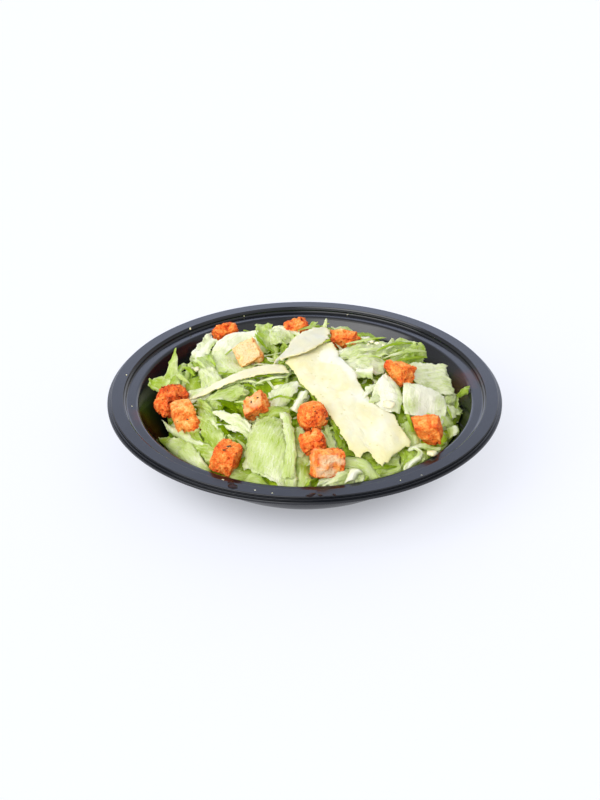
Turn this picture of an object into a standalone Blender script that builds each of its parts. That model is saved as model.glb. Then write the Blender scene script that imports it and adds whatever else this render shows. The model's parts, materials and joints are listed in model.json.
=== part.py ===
"""Caesar salad in its round takeaway bowl: chopped lettuce, croutons and shaved hard cheese.

Run it with: blender --background --python part.py
Units are metres, +Z is up, and the origin is on the floor under the bowl's centre.
Sizes below are in millimetres and are turned to metres by MM.
"""

import math
import random

import bmesh
import bpy
from mathutils import Euler, Matrix, Vector, noise

MM = 0.001

# The bowl: an injection-moulded shell, turned about Z.
BOWL_RADIUS = 105.0  # outside of the skirt
BOWL_HEIGHT = 36.5
WALL = 0.9
FLANGE_INNER_RADIUS = 96.0
FLANGE_OUTER_RADIUS = 102.4
LEDGE_OUTER_RADIUS = 94.4
LEDGE_INNER_RADIUS = 88.2
LEDGE_DROP = 4.0
SKIRT_DROP = 3.4
SKIRT_STEP = 0.9  # how far each of the skirt's two steps stands out
BASE_RADIUS = 57.5
FOOT_RING_INNER_RADIUS = 51.0
BASE_LIFT = 0.8  # the middle of the base is raised clear of the floor
WALL_SHOULDER = (85.5, 14.0)  # radius, and depth under the rim, that the wall's curve leaves towards
WALL_HIP = (71.0, 31.5)  # the same, for the curve's lower end
WALL_STEPS = 7
TURN_STEPS = 64

# The lettuce: a mound that fills the bowl and is heaped highest a little behind the middle.
HEAP_GAP = 0.4  # between the lettuce and the bowl
MOUND_TOP = 14.5  # above the rim
MOUND_POWER = 3.4
MOUND_LEAN = 0.11  # rise for each millimetre towards the back
EDGE_DEPTH = 9.5  # of the mound's edge under the rim
EDGE_TILT = 4.0  # deeper at the back and shallower in front by this much
EDGE_WAVE = 1.3
SLUMP = 8.0  # how much deeper the edge lies where the heap has slid away from the wall
SLUMP_ANGLE = math.radians(196)
SLUMP_WIDTH = math.radians(26)
LUMP_HEIGHT = 1.8
LUMP_LENGTH = 13.0
TOP_RINGS = 13
UNDER_RINGS = 8

# Croutons: half-inch cubes of bread, unevenly cut. Each has the place of its centre in
# plan, the height of its centre over the mound, its size, and its turns in degrees.
SOCKET_GAP = 0.3
CROUTONS = (
    ((-44, 54), 4.0, (14.0, 13.0, 13.0), (8, -6, 28)),
    ((-30, 8), 4.0, (17.0, 16.5, 10.5), (16, 0, 44)),
    ((-5, 37), 0.6, (15.0, 13.0, 12.5), (-6, 5, 12)),
    ((21, 26), 0.8, (15.5, 13.0, 13.0), (4, -8, -10)),
    ((50, -7), 4.0, (15.5, 14.0, 14.0), (-10, 14, 40)),
    ((-70, -13), 5.4, (15.5, 14.0, 16.0), (6, 12, 32)),
    ((-62, -33), 4.6, (14.5, 13.0, 16.5), (-8, -10, 16)),
    ((-25, -39), 4.0, (13.5, 12.5, 16.0), (10, -18, 30)),
    ((4, -48), 4.2, (15.0, 14.0, 15.0), (-6, 8, 30)),
    ((4, -66), 4.2, (13.5, 11.0, 12.5), (12, -10, 6)),
    ((11, -78), 4.2, (17.5, 12.0, 15.0), (-12, 6, 6)),
    ((-39, -69), 4.4, (15.5, 13.5, 17.0), (-6, 10, -22)),
    ((63, -46), 2.8, (15.0, 13.0, 15.0), (8, -6, -14)),
)
CRUMB_ROUGHNESS = 0.9

# Cheese shavings: thin sheets that lie over the lettuce. Each row across a sheet has the
# places of its left and right edges in plan.
SHEET = 1.1
SHEET_LIFT = 2.9
SHAVINGS = {
    "shaving_wide": {
        "lift": SHEET_LIFT,
        "curl": 1.0,
        "rows": (
            ((5, 11), (12, 15)),
            ((0, 4), (17, 9)),
            ((-7, -9), (22, -3)),
            ((-2, -18), (27, -14)),
            ((4, -28), (31, -26)),
            ((11, -38), (35, -37)),
            ((15, -49), (45, -42)),
            ((19, -60), (50, -53)),
            ((24, -69), (52, -59)),
            ((28, -72), (45, -70)),
        ),
    },
    "shaving_upper": {
        "lift": SHEET_LIFT + SHEET + 1.6,
        "curl": 1.5,
        "rows": (
            ((-17, -6), (-16, -7.5)),
            ((-13, 1), (-9, -5)),
            ((-8, 9), (-3, -1)),
            ((-3, 17), (3, 5)),
            ((2, 24), (8, 12)),
            ((8, 27), (11, 18)),
        ),
    },
    "shaving_ribbon": {
        "lift": SHEET_LIFT,
        "curl": 1.0,
        "rows": (
            ((-57, -20.5), (-56.5, -22)),
            ((-51, -18), (-50, -22.5)),
            ((-43, -14.5), (-41, -20)),
            ((-33, -10), (-31, -16)),
            ((-23, -7.5), (-21, -14)),
            ((-12, -7), (-10, -12)),
        ),
    },
}


def bezier(start, first, second, end, steps):
    """Points along a cubic curve in (radius, height), ends included."""
    points = []
    for i in range(steps + 1):
        t = i / steps
        u = 1 - t
        weights = (u**3, 3 * u * u * t, 3 * u * t * t, t**3)
        corners = (start, first, second, end)
        points.append(tuple(sum(w * c[k] for w, c in zip(weights, corners)) for k in (0, 1)))
    return points


def inner_wall():
    """The bowl's inside wall, from the base up to the ledge, as (radius, height)."""
    below_rim = [(r, BOWL_HEIGHT - depth) for r, depth in (WALL_HIP, WALL_SHOULDER)]
    foot = (BASE_RADIUS, WALL)
    top = (LEDGE_INNER_RADIUS, BOWL_HEIGHT - LEDGE_DROP)
    return bezier(foot, *below_rim, top, WALL_STEPS)


def offset(points, distance):
    """The points moved sideways, to the right of their direction of travel."""
    moved = []
    for i, (r, z) in enumerate(points):
        before = points[max(i - 1, 0)]
        after = points[min(i + 1, len(points) - 1)]
        run, rise = after[0] - before[0], after[1] - before[1]
        length = math.hypot(run, rise)
        moved.append((r + distance * rise / length, z - distance * run / length))
    return moved


def wall_radius(depth):
    """The inside radius at a depth under the rim."""
    height = BOWL_HEIGHT - depth
    wall = inner_wall()
    for (r0, z0), (r1, z1) in zip(wall, wall[1:]):
        if z0 <= height <= z1:
            return r0 + (r1 - r0) * (height - z0) / (z1 - z0)
    return LEDGE_INNER_RADIUS if height > wall[-1][1] else BASE_RADIUS


def bowl_profile():
    """Half the bowl's section: out along the inside, over the flange, down and back."""
    rim = BOWL_HEIGHT
    ledge = rim - LEDGE_DROP
    first_step = FLANGE_OUTER_RADIUS + 0.6
    second_step = first_step + SKIRT_STEP
    inside = [
        (0, BASE_LIFT + WALL),
        (FOOT_RING_INNER_RADIUS - 0.8, BASE_LIFT + WALL),
        (FOOT_RING_INNER_RADIUS + 0.4, WALL),
    ]
    over = [
        (LEDGE_OUTER_RADIUS, ledge + 0.2),
        (LEDGE_OUTER_RADIUS + 0.6, ledge + 0.7),
        (FLANGE_INNER_RADIUS - 0.7, rim - 0.5),
        (FLANGE_INNER_RADIUS, rim),
        (FLANGE_OUTER_RADIUS, rim),
        (first_step, rim - 0.5),
        (first_step, rim - 1.3),
        (second_step, rim - 1.5),
        (second_step, rim - 2.4),
        (BOWL_RADIUS, rim - 2.6),
        (BOWL_RADIUS, rim - SKIRT_DROP),
    ]
    under = [
        (BOWL_RADIUS - WALL, rim - SKIRT_DROP),
        (FLANGE_OUTER_RADIUS - 0.3, rim - WALL),
        (FLANGE_INNER_RADIUS + 0.6, rim - WALL),
        (LEDGE_OUTER_RADIUS + 1.2, ledge - 0.4),
        (LEDGE_OUTER_RADIUS + 0.4, ledge - WALL),
    ]
    outside = list(reversed(offset(inner_wall(), WALL)))
    base = [
        (BASE_RADIUS + 0.4, 0),
        (FOOT_RING_INNER_RADIUS, 0),
        (FOOT_RING_INNER_RADIUS - 1.2, BASE_LIFT),
        (0, BASE_LIFT),
    ]
    return inside + inner_wall() + over + under + outside[:-1] + base


def edge_depth(angle):
    """How far under the rim the mound meets the wall, in a direction from the centre."""
    wave = math.sin(3 * angle + 0.7) + 0.6 * math.sin(7 * angle + 2.1)
    away = math.remainder(angle - SLUMP_ANGLE, math.tau) / SLUMP_WIDTH
    slump = SLUMP * math.exp(-away * away)
    return EDGE_DEPTH + EDGE_TILT * math.sin(angle) + EDGE_WAVE * wave + slump


def mound(x, y):
    """The height over the floor of the mound's smooth top."""
    angle = math.atan2(y, x)
    depth = edge_depth(angle)
    share = min(math.hypot(x, y) / (wall_radius(depth) - HEAP_GAP), 1.0)
    edge = share**MOUND_POWER
    lean = MOUND_LEAN * y * (1 - share * share)
    return BOWL_HEIGHT + MOUND_TOP * (1 - edge) - depth * edge + lean


def lumps(x, y):
    """The unevenness of the chopped leaves, which dies out where the mound meets the wall."""
    depth = edge_depth(math.atan2(y, x))
    share = min(math.hypot(x, y) / wall_radius(depth), 1.0)
    place = Vector((x / LUMP_LENGTH, y / LUMP_LENGTH, 0.37))
    return LUMP_HEIGHT * 1.6 * noise.noise(place) * (1 - share**6)


def material(name, colour, roughness, metallic=0.0):
    made = bpy.data.materials.new(name)
    made.use_nodes = True
    shader = made.node_tree.nodes["Principled BSDF"]
    shader.inputs["Base Color"].default_value = (*colour, 1.0)
    shader.inputs["Roughness"].default_value = roughness
    shader.inputs["Metallic"].default_value = metallic
    return made


def new_object(name, mesh, collection, finish=None):
    made = bpy.data.objects.new(name, mesh)
    collection.objects.link(made)
    if finish:
        mesh.materials.append(finish)
    return made


def make_bowl(collection):
    mesh = bpy.data.meshes.new("bowl")
    profile = bmesh.new()
    corners = [profile.verts.new((r * MM, 0, z * MM)) for r, z in bowl_profile()]
    for first, second in zip(corners, corners[1:]):
        profile.edges.new((first, second))
    profile.to_mesh(mesh)
    profile.free()
    bowl = new_object("bowl", mesh, collection, material("black plastic", (0.02, 0.022, 0.026), 0.35))
    turn = bowl.modifiers.new("turn", "SCREW")
    turn.steps = TURN_STEPS
    turn.render_steps = TURN_STEPS
    turn.use_merge_vertices = True
    turn.merge_threshold = 0.00005
    turn.use_smooth_shade = True
    return bowl


def heap_point(ring, angle):
    """Where a point of the heap lies: rings run from the top's middle, over the edge, to
    the underside's middle."""
    depth = edge_depth(angle)
    if ring <= TOP_RINGS:
        radius = (wall_radius(depth) - HEAP_GAP) * ring / TOP_RINGS
        x, y = radius * math.cos(angle), radius * math.sin(angle)
        return x, y, mound(x, y) + lumps(x, y)
    left = (TOP_RINGS + UNDER_RINGS - ring) / UNDER_RINGS
    floor = BASE_LIFT + WALL + HEAP_GAP
    corner = 0.25  # the share of the underside's rings that cross the flat base
    if left <= corner:
        radius, height = (BASE_RADIUS - 2.0) * left / corner, floor
    else:
        height = floor + (BOWL_HEIGHT - depth - floor) * (left - corner) / (1 - corner)
        radius = wall_radius(BOWL_HEIGHT - height) - 1.3 * HEAP_GAP
    return radius * math.cos(angle), radius * math.sin(angle), height


def make_heap(collection):
    """A ball whose upper half is moved onto the mound and lower half into the bowl."""
    rings = TOP_RINGS + UNDER_RINGS
    ball = bmesh.new()
    bmesh.ops.create_uvsphere(ball, u_segments=TURN_STEPS, v_segments=rings, radius=1.0)
    for corner in ball.verts:
        ring = round(rings * math.acos(max(-1.0, min(1.0, corner.co.z))) / math.pi)
        angle = math.atan2(corner.co.y, corner.co.x)
        corner.co = Vector(heap_point(ring, angle)) * MM
    mesh = bpy.data.meshes.new("lettuce_heap")
    ball.to_mesh(mesh)
    ball.free()
    return new_object("lettuce_heap", mesh, collection, material("lettuce", (0.5, 0.68, 0.22), 0.5))


def crouton_placement(entry):
    (x, y), lift, _, turns = entry
    turned = Euler([math.radians(a) for a in turns], "XYZ").to_matrix().to_4x4()
    return Matrix.Translation(Vector((x, y, mound(x, y) + lift)) * MM) @ turned


def make_crouton(number, entry, collection, finish):
    """A cube whose edges and faces are worn and torn, all of it inside its stated size."""
    size = entry[2]
    rng = random.Random(number)
    block = bmesh.new()
    bmesh.ops.create_cube(block, size=2.0)
    bmesh.ops.subdivide_edges(block, edges=block.edges[:], cuts=2, use_grid_fill=True)
    for corner in block.verts:
        outer = sum(abs(c) > 0.9 for c in corner.co)
        wear = (0.0, 0.5, 1.1, 1.7)[outer]
        half = [s / 2 - CRUMB_ROUGHNESS * rng.random() for s in size]
        inward = Vector(corner.co).normalized() * wear
        corner.co = Vector([c * h for c, h in zip(corner.co, half)]) - inward
    bmesh.ops.scale(block, vec=(MM, MM, MM), verts=block.verts)
    bmesh.ops.transform(block, matrix=crouton_placement(entry), verts=block.verts)
    name = f"crouton_{number:02d}"
    mesh = bpy.data.meshes.new(name)
    block.to_mesh(mesh)
    block.free()
    return new_object(name, mesh, collection, finish)


def make_socket(number, entry, collection):
    """The box that a crouton presses into the lettuce."""
    size = [(s + 2 * SOCKET_GAP) * MM for s in entry[2]]
    box = bmesh.new()
    bmesh.ops.create_cube(box, size=1.0)
    bmesh.ops.scale(box, vec=size, verts=box.verts)
    bmesh.ops.transform(box, matrix=crouton_placement(entry), verts=box.verts)
    mesh = bpy.data.meshes.new(f"socket_{number:02d}")
    box.to_mesh(mesh)
    box.free()
    cutter = new_object(mesh.name, mesh, collection)
    cutter.hide_render = True
    cutter.display_type = "WIRE"
    return cutter


def press_in(heap, cutter):
    cut = heap.modifiers.new(cutter.name, "BOOLEAN")
    cut.operation = "DIFFERENCE"
    cut.solver = "EXACT"
    cut.object = cutter


def make_shaving(name, plan, collection, finish, across=4):
    """A sheet whose rows lie over the mound, crowned across by its curl."""
    rows = plan["rows"]
    sheet = bmesh.new()
    bmesh.ops.create_grid(sheet, x_segments=across, y_segments=len(rows) - 1, size=0.5)
    for corner in sheet.verts:
        side = corner.co.x + 0.5
        left, right = rows[round((corner.co.y + 0.5) * (len(rows) - 1))]
        x = left[0] + (right[0] - left[0]) * side
        y = left[1] + (right[1] - left[1]) * side
        crown = plan["curl"] * math.sin(math.pi * side)
        corner.co = Vector((x, y, mound(x, y) + plan["lift"] + crown)) * MM
    bmesh.ops.recalc_face_normals(sheet, faces=sheet.faces)
    if sum(face.normal.z for face in sheet.faces) < 0:
        bmesh.ops.reverse_faces(sheet, faces=sheet.faces)
    mesh = bpy.data.meshes.new(name)
    sheet.to_mesh(mesh)
    sheet.free()
    shaving = new_object(name, mesh, collection, finish)
    wall = shaving.modifiers.new("thickness", "SOLIDIFY")
    wall.thickness = SHEET * MM
    wall.offset = 1.0
    return shaving


def make_salad():
    for old in list(bpy.data.objects):
        bpy.data.objects.remove(old, do_unlink=True)
    salad = bpy.data.collections.new("caesar_salad")
    cutters = bpy.data.collections.new("cutters")
    bpy.context.scene.collection.children.link(salad)
    bpy.context.scene.collection.children.link(cutters)

    make_bowl(salad)
    heap = make_heap(salad)
    bread = material("toasted bread", (0.82, 0.28, 0.08), 0.7)
    for number, entry in enumerate(CROUTONS, start=1):
        make_crouton(number, entry, salad, bread)
        press_in(heap, make_socket(number, entry, cutters))
    cheese = material("hard cheese", (0.93, 0.87, 0.6), 0.5)
    for name, plan in SHAVINGS.items():
        make_shaving(name, plan, salad, cheese)


make_salad()
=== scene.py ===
"""Looks of the caesar salad in its round takeaway bowl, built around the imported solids.

Sizes are in millimetres and are turned to metres by MM. The origin is on the floor under
the bowl's middle, +Z is up, and -Y is the front.
"""

import json
import math

import bmesh
import bpy
import numpy as np
from mathutils import Matrix, Vector, noise

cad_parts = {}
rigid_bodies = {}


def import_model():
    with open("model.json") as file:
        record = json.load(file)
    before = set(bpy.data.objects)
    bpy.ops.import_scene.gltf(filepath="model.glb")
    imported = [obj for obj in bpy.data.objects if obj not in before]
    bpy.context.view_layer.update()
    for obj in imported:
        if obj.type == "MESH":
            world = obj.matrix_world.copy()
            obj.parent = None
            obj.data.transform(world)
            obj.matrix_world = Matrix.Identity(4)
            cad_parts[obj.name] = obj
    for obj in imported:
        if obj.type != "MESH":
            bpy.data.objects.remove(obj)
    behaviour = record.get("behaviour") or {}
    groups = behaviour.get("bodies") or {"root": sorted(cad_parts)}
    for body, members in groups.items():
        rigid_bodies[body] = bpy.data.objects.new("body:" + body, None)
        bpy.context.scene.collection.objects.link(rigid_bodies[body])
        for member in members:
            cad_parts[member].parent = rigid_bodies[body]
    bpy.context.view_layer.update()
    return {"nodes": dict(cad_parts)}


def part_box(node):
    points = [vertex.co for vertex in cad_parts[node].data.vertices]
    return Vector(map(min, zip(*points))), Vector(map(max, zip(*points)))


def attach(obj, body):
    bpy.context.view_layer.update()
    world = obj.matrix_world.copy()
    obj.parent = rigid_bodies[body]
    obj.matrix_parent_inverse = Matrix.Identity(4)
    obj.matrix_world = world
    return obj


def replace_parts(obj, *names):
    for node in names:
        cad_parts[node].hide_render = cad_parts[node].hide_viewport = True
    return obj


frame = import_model()
MM = 0.001

# ---------------------------------------------------------------------------------------
# Studio. A pale sweep lit from below, which the rim mirrors where it rises behind the bowl,
# a window on the left in front, a broad soft lamp over it for the leaves, and a camera that
# looks down on the front of the bowl.

CAMERA_TILT = math.radians(30.1)
CAMERA_DISTANCE = 0.945
AIM_HEIGHT = 0.0365
CAMERA_LENS = 79.7  # mm, on a sensor 36 mm high


def linear(code):
    """An sRGB hex colour as linear light."""
    parts = [int(code[i : i + 2], 16) / 255 for i in (1, 3, 5)]
    return (*[p / 12.92 if p <= 0.04045 else ((p + 0.055) / 1.055) ** 2.4 for p in parts], 1.0)


def node(tree, kind, inputs=None, **settings):
    """Adds a node. Settings are its attributes, and each input takes a value, an output or
    a node, which gives its first output in use."""
    made = tree.nodes.new(kind)
    for name, value in settings.items():
        setattr(made, name, value)
    for socket, value in (inputs or {}).items():
        if isinstance(value, bpy.types.Node):
            value = next(output for output in value.outputs if output.enabled)
        if isinstance(value, bpy.types.NodeSocket):
            tree.links.new(value, made.inputs[socket])
        else:
            made.inputs[socket].default_value = value
    return made


def new_material(name):
    """An empty material and its node tree."""
    made = bpy.data.materials.new(name)
    made.use_nodes = True
    made.node_tree.nodes.clear()
    return made, made.node_tree


def set_stops(ramp, stops):
    """Gives a colour ramp its stops. The first two take the place of those it has."""
    for i, (stop, code) in enumerate(stops):
        mark = ramp.color_ramp.elements[i] if i < 2 else ramp.color_ramp.elements.new(stop)
        mark.position = stop
        mark.color = linear(code)


def finish_material(tree, shader):
    """Ends a material's tree in its shader."""
    node(tree, "ShaderNodeOutputMaterial", {"Surface": shader})


KEY_PLACE = Vector((-0.38, -0.50, 0.95))  # the way to the lamp

camera = bpy.data.objects.new("camera", bpy.data.cameras.new("camera"))
camera.data.sensor_fit = "VERTICAL"
camera.data.sensor_height = 36.0
camera.data.lens = CAMERA_LENS
camera.data.shift_x = -0.0059
camera.data.shift_y = -0.0124
camera.data.clip_start = 0.01
camera.location = (
    0,
    -CAMERA_DISTANCE * math.cos(CAMERA_TILT),
    AIM_HEIGHT + CAMERA_DISTANCE * math.sin(CAMERA_TILT),
)
camera.rotation_euler = (math.pi / 2 - CAMERA_TILT, 0, 0)
bpy.context.scene.collection.objects.link(camera)
bpy.context.scene.camera = camera
bpy.context.scene.view_settings.view_transform = "Standard"

world = bpy.data.worlds.new("studio")
world.use_nodes = True
tree = world.node_tree
tree.nodes.clear()
way = node(tree, "ShaderNodeTexCoord").outputs["Generated"]
# A pale sweep low behind the bowl, a soft box in front on the right, and the dark of the
# room in the middle of the front.
ROOM_LIGHT = 0.68
LIGHT_ZONES = (
    # middle of the zone, the cosines where it starts and is full, and what it adds
    ((0.0, 0.93, 0.37), 0.90, 0.96, 0.75),
    ((0.62, -0.70, 0.36), 0.84, 0.93, 0.45),
    ((0.0, -0.93, 0.37), 0.90, 0.98, -0.45),
)
# Panels with straight edges: the way to the middle, the way along, half the length, the
# heights where it starts, is full, stays full and ends, and what it adds. One is the window
# on the left in front, the other the lit lower part of the sweep behind.
LIGHT_PANELS = (
    ((-0.669, -0.743, 0.0), (0.743, -0.669, 0.0), 0.56, (0.16, 0.22, 0.62, 0.76), 3.4),
    ((0.0, 1.0, 0.0), (1.0, 0.0, 0.0), 0.60, (0.0, 0.03, 0.462, 0.497), 0.95),
)
total = ROOM_LIGHT
for middle, outer, inner, amount in LIGHT_ZONES:
    toward = node(tree, "ShaderNodeVectorMath", {0: way, 1: middle}, operation="DOT_PRODUCT")
    zone = node(
        tree,
        "ShaderNodeMapRange",
        {"Value": toward, "From Min": outer, "From Max": inner},
        interpolation_type="SMOOTHSTEP",
    )
    if total is ROOM_LIGHT:
        sky = node(
            tree, "ShaderNodeMix", {0: zone, 6: linear("#FBFCFF"), 7: linear("#DCE5FF")}, data_type="RGBA"
        )
    total = node(tree, "ShaderNodeMath", {0: zone, 1: amount, 2: total}, operation="MULTIPLY_ADD")
upward = node(tree, "ShaderNodeSeparateXYZ", {0: way}).outputs["Z"]
for middle, length_way, half, heights, amount in LIGHT_PANELS:
    ahead = node(tree, "ShaderNodeVectorMath", {0: way, 1: middle}, operation="DOT_PRODUCT")
    along = node(tree, "ShaderNodeVectorMath", {0: way, 1: length_way}, operation="DOT_PRODUCT")
    aside = node(tree, "ShaderNodeMath", {0: along}, operation="ABSOLUTE")
    panel = amount
    for value, start, full in (
        (ahead, 0.0, 0.1),
        (aside, half, half - 0.04),
        (upward, heights[0], heights[1]),
        (upward, heights[3], heights[2]),
    ):
        part = node(tree, "ShaderNodeMapRange", {"Value": value, "From Min": start, "From Max": full})
        panel = node(tree, "ShaderNodeMath", {0: part, 1: panel}, operation="MULTIPLY")
    total = node(tree, "ShaderNodeMath", {0: total, 1: panel}, operation="ADD")
glow = node(tree, "ShaderNodeBackground", {"Color": sky, "Strength": total})
node(tree, "ShaderNodeOutputWorld", {"Surface": glow})
bpy.context.scene.world = world

key = bpy.data.objects.new("key_light", bpy.data.lights.new("key_light", "SUN"))
key.data.energy = 0.98
key.data.angle = math.radians(52)
key.data.color = linear("#FFFDF8")[:3]
key.rotation_euler = (-KEY_PLACE).to_track_quat("-Z", "Y").to_euler()
bpy.context.scene.collection.objects.link(key)

bpy.ops.mesh.primitive_plane_add(size=6)
floor = bpy.context.object
floor.name = "sweep"
acrylic, tree = new_material("white acrylic, lit from below")
# The panel's own light keeps shadows thin. Under and near the bowl it is made weaker, a painted shade round
# the bowl's foot.
place = node(tree, "ShaderNodeTexCoord").outputs["Object"]
far = node(tree, "ShaderNodeVectorMath", {0: place}, operation="LENGTH")
fade = node(
    tree,
    "ShaderNodeMapRange",
    {"Value": far, "From Min": 0.054, "From Max": 0.094, "To Min": 0.34, "To Max": 0.75},
    interpolation_type="SMOOTHSTEP",
)
lamp = node(tree, "ShaderNodeEmission", {"Color": linear("#F6F8FF"), "Strength": fade})
surface = node(tree, "ShaderNodeBsdfDiffuse", {"Color": linear("#81838A")})
panel = node(tree, "ShaderNodeAddShader", {0: surface, 1: lamp})
finish_material(tree, panel)
floor.data.materials.append(acrylic)

# ---------------------------------------------------------------------------------------
# The bowl. Injection-moulded black polypropylene: a thin turned shell with a flat flange, a
# rounded step down to a ledge for the lid inside it, and a stepped skirt outside, whose
# lower step is finely ribbed for grip. The shell is one profile swept round a circle.

BOWL_RADIUS = 105.0
BOWL_HEIGHT = 36.5
WALL = 0.9
FLANGE_INNER, FLANGE_OUTER = 96.6, 102.4
LEDGE_INNER, LEDGE_OUTER = 88.5, 94.3
LEDGE_DROP = 2.8
WALL_DROP = 3.8  # where the wall starts, under the ledge's rounded inner edge
SKIRT_DROP = 3.4
BASE_RADIUS = 57.5
FOOT_RING = 51.0
BASE_LIFT = 0.8
WALL_SHOULDER = (83.0, 11.6)  # radius, and depth under the rim
WALL_HIP = (71.0, 31.5)
TURN_STEPS = 200


def bezier(corners, steps):
    """Points along a cubic curve between the first and the last of four corners."""
    points = []
    for i in range(steps + 1):
        t = i / steps
        weights = ((1 - t) ** 3, 3 * (1 - t) ** 2 * t, 3 * (1 - t) * t * t, t**3)
        points.append(tuple(sum(w * c[k] for w, c in zip(weights, corners)) for k in (0, 1)))
    return points


def inner_wall(steps):
    """The inside wall from the base up to the ledge, as (radius, height)."""
    hip, shoulder = [(r, BOWL_HEIGHT - depth) for r, depth in (WALL_HIP, WALL_SHOULDER)]
    return bezier(((BASE_RADIUS, WALL), hip, shoulder, (LEDGE_INNER, BOWL_HEIGHT - WALL_DROP)), steps)


def offset(points, distance):
    """The points moved sideways, to the right of their direction of travel."""
    moved = []
    for i, (r, z) in enumerate(points):
        (r0, z0), (r1, z1) = points[max(i - 1, 0)], points[min(i + 1, len(points) - 1)]
        length = math.hypot(r1 - r0, z1 - z0)
        moved.append((r + distance * (z1 - z0) / length, z - distance * (r1 - r0) / length))
    return moved


def rounded(points, radius, steps=3):
    """The outline with its sharp corners turned to short curves."""
    out = [points[0]]
    for before, corner, after in zip(points, points[1:], points[2:]):
        before, corner, after = Vector(before), Vector(corner), Vector(after)
        back, on = before - corner, after - corner
        if math.pi - back.angle(on) < math.radians(12):
            out.append(tuple(corner))
            continue
        reach = min(radius, 0.45 * back.length, 0.45 * on.length)
        first, last = corner + back.normalized() * reach, corner + on.normalized() * reach
        for i in range(steps + 1):
            t = i / steps
            out.append(tuple(first * (1 - t) ** 2 + corner * 2 * t * (1 - t) + last * t * t))
    out.append(points[-1])
    held = [out[0]]
    for start, end in zip(out, out[1:]):
        length = math.dist(start, end)
        if length > 0.6:  # points close to each end keep the flat between them flat
            held += [tuple(Vector(start).lerp(Vector(end), t)) for t in (0.12 / length, 1 - 0.12 / length)]
        held.append(end)
    return held


def bowl_profile():
    """Half the bowl's section: out along the inside, over the flange, down and back."""
    rim, ledge = BOWL_HEIGHT, BOWL_HEIGHT - LEDGE_DROP
    inside = [(0, BASE_LIFT + WALL), (FOOT_RING - 0.8, BASE_LIFT + WALL), (FOOT_RING + 0.4, WALL)]
    over = [
        (LEDGE_INNER + 0.5, ledge - 0.45),
        (LEDGE_INNER + 1.1, ledge - 0.12),
        (LEDGE_INNER + 1.8, ledge),
        (LEDGE_OUTER, ledge),
        (LEDGE_OUTER + 0.55, ledge + 0.2),
        (LEDGE_OUTER + 0.9, ledge + 0.65),
        (LEDGE_OUTER + 1.05, rim - 1.15),
        (LEDGE_OUTER + 1.85, rim - 0.75),
        (FLANGE_INNER - 0.15, rim - 0.22),
        (FLANGE_INNER, rim),
        (FLANGE_OUTER + 0.4, rim),
        (FLANGE_OUTER + 0.7, rim - 0.3),
    ]
    # Two narrow treads, each under an overhanging lip, lead down to the ribbed step.
    for lip, top in ((FLANGE_OUTER + 0.7, rim - 0.3), (FLANGE_OUTER + 1.6, rim - 1.3)):
        over += [(lip - 0.3, top - 0.8), (lip + 0.7, top - 0.85), (lip + 0.9, top - 1.0)]
    over += [(BOWL_RADIUS, rim - 2.5), (BOWL_RADIUS, rim - SKIRT_DROP)]
    under = [
        (BOWL_RADIUS - WALL, rim - SKIRT_DROP),
        (FLANGE_OUTER - 0.3, rim - WALL),
        (FLANGE_INNER + 0.6, rim - WALL),
        (LEDGE_OUTER + 1.6, ledge - 0.3),
        (LEDGE_OUTER + 0.4, ledge - WALL),
        (LEDGE_INNER + 2.0, ledge - WALL),
    ]
    outside = list(reversed(offset(inner_wall(20), WALL)))
    base = [(BASE_RADIUS + 0.4, 0), (FOOT_RING, 0), (FOOT_RING - 1.2, BASE_LIFT), (0, BASE_LIFT)]
    return rounded(inside + inner_wall(20) + over + under + outside[:-1] + base, 0.16)


def mesh_object(name, mesh, material=None):
    """An object at the origin for a mesh that holds its own place."""
    made = bpy.data.objects.new(name, mesh)
    bpy.context.scene.collection.objects.link(made)
    if material:
        mesh.materials.clear()
        mesh.materials.append(material)
    return made


def geometry_tree(name, *inputs):
    """A Geometry Nodes tree with named inputs, each (name, socket kind)."""
    tree = bpy.data.node_groups.new(name, "GeometryNodeTree")
    for label, kind in (("Geometry", "Geometry"), *inputs):
        tree.interface.new_socket(label, in_out="INPUT", socket_type=f"NodeSocket{kind}")
    tree.interface.new_socket("Geometry", in_out="OUTPUT", socket_type="NodeSocketGeometry")
    return tree, tree.nodes.new("NodeGroupInput").outputs


def close_tree(tree, geometry, material):
    """Ends a tree in Realize Instances and Set Material."""
    real = node(tree, "GeometryNodeRealizeInstances", {"Geometry": geometry})
    finish = node(tree, "GeometryNodeSetMaterial", {"Geometry": real, "Material": material})
    node(tree, "NodeGroupOutput", {0: finish})


def grown(name, start, tree, values):
    """The plain mesh that a tree makes from a starting mesh, with its inputs set."""
    source = mesh_object(f"{name}_start", start)
    maker = source.modifiers.new("maker", "NODES")
    maker.node_group = tree
    for item in tree.interface.items_tree:
        if item.in_out == "INPUT" and item.name in values:
            maker[item.identifier] = values[item.name]
    bpy.context.view_layer.update()
    seen = source.evaluated_get(bpy.context.evaluated_depsgraph_get())
    mesh = bpy.data.meshes.new_from_object(seen)
    mesh.name = name
    bpy.data.objects.remove(source, do_unlink=True)
    return mesh


GLOSS_FROM, GLOSS_FULL = 0.0240, 0.0275  # heights between which the wall turns glossy
DULL_FROM, DULL_FULL = -0.066, -0.076  # places across between which it is dulled again
LEDGE_FROM, LEDGE_FULL = 0.0320, 0.0332  # heights from which the ledge keeps its gloss

plastic, tree = new_material("black polypropylene, moulded satin")
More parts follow.
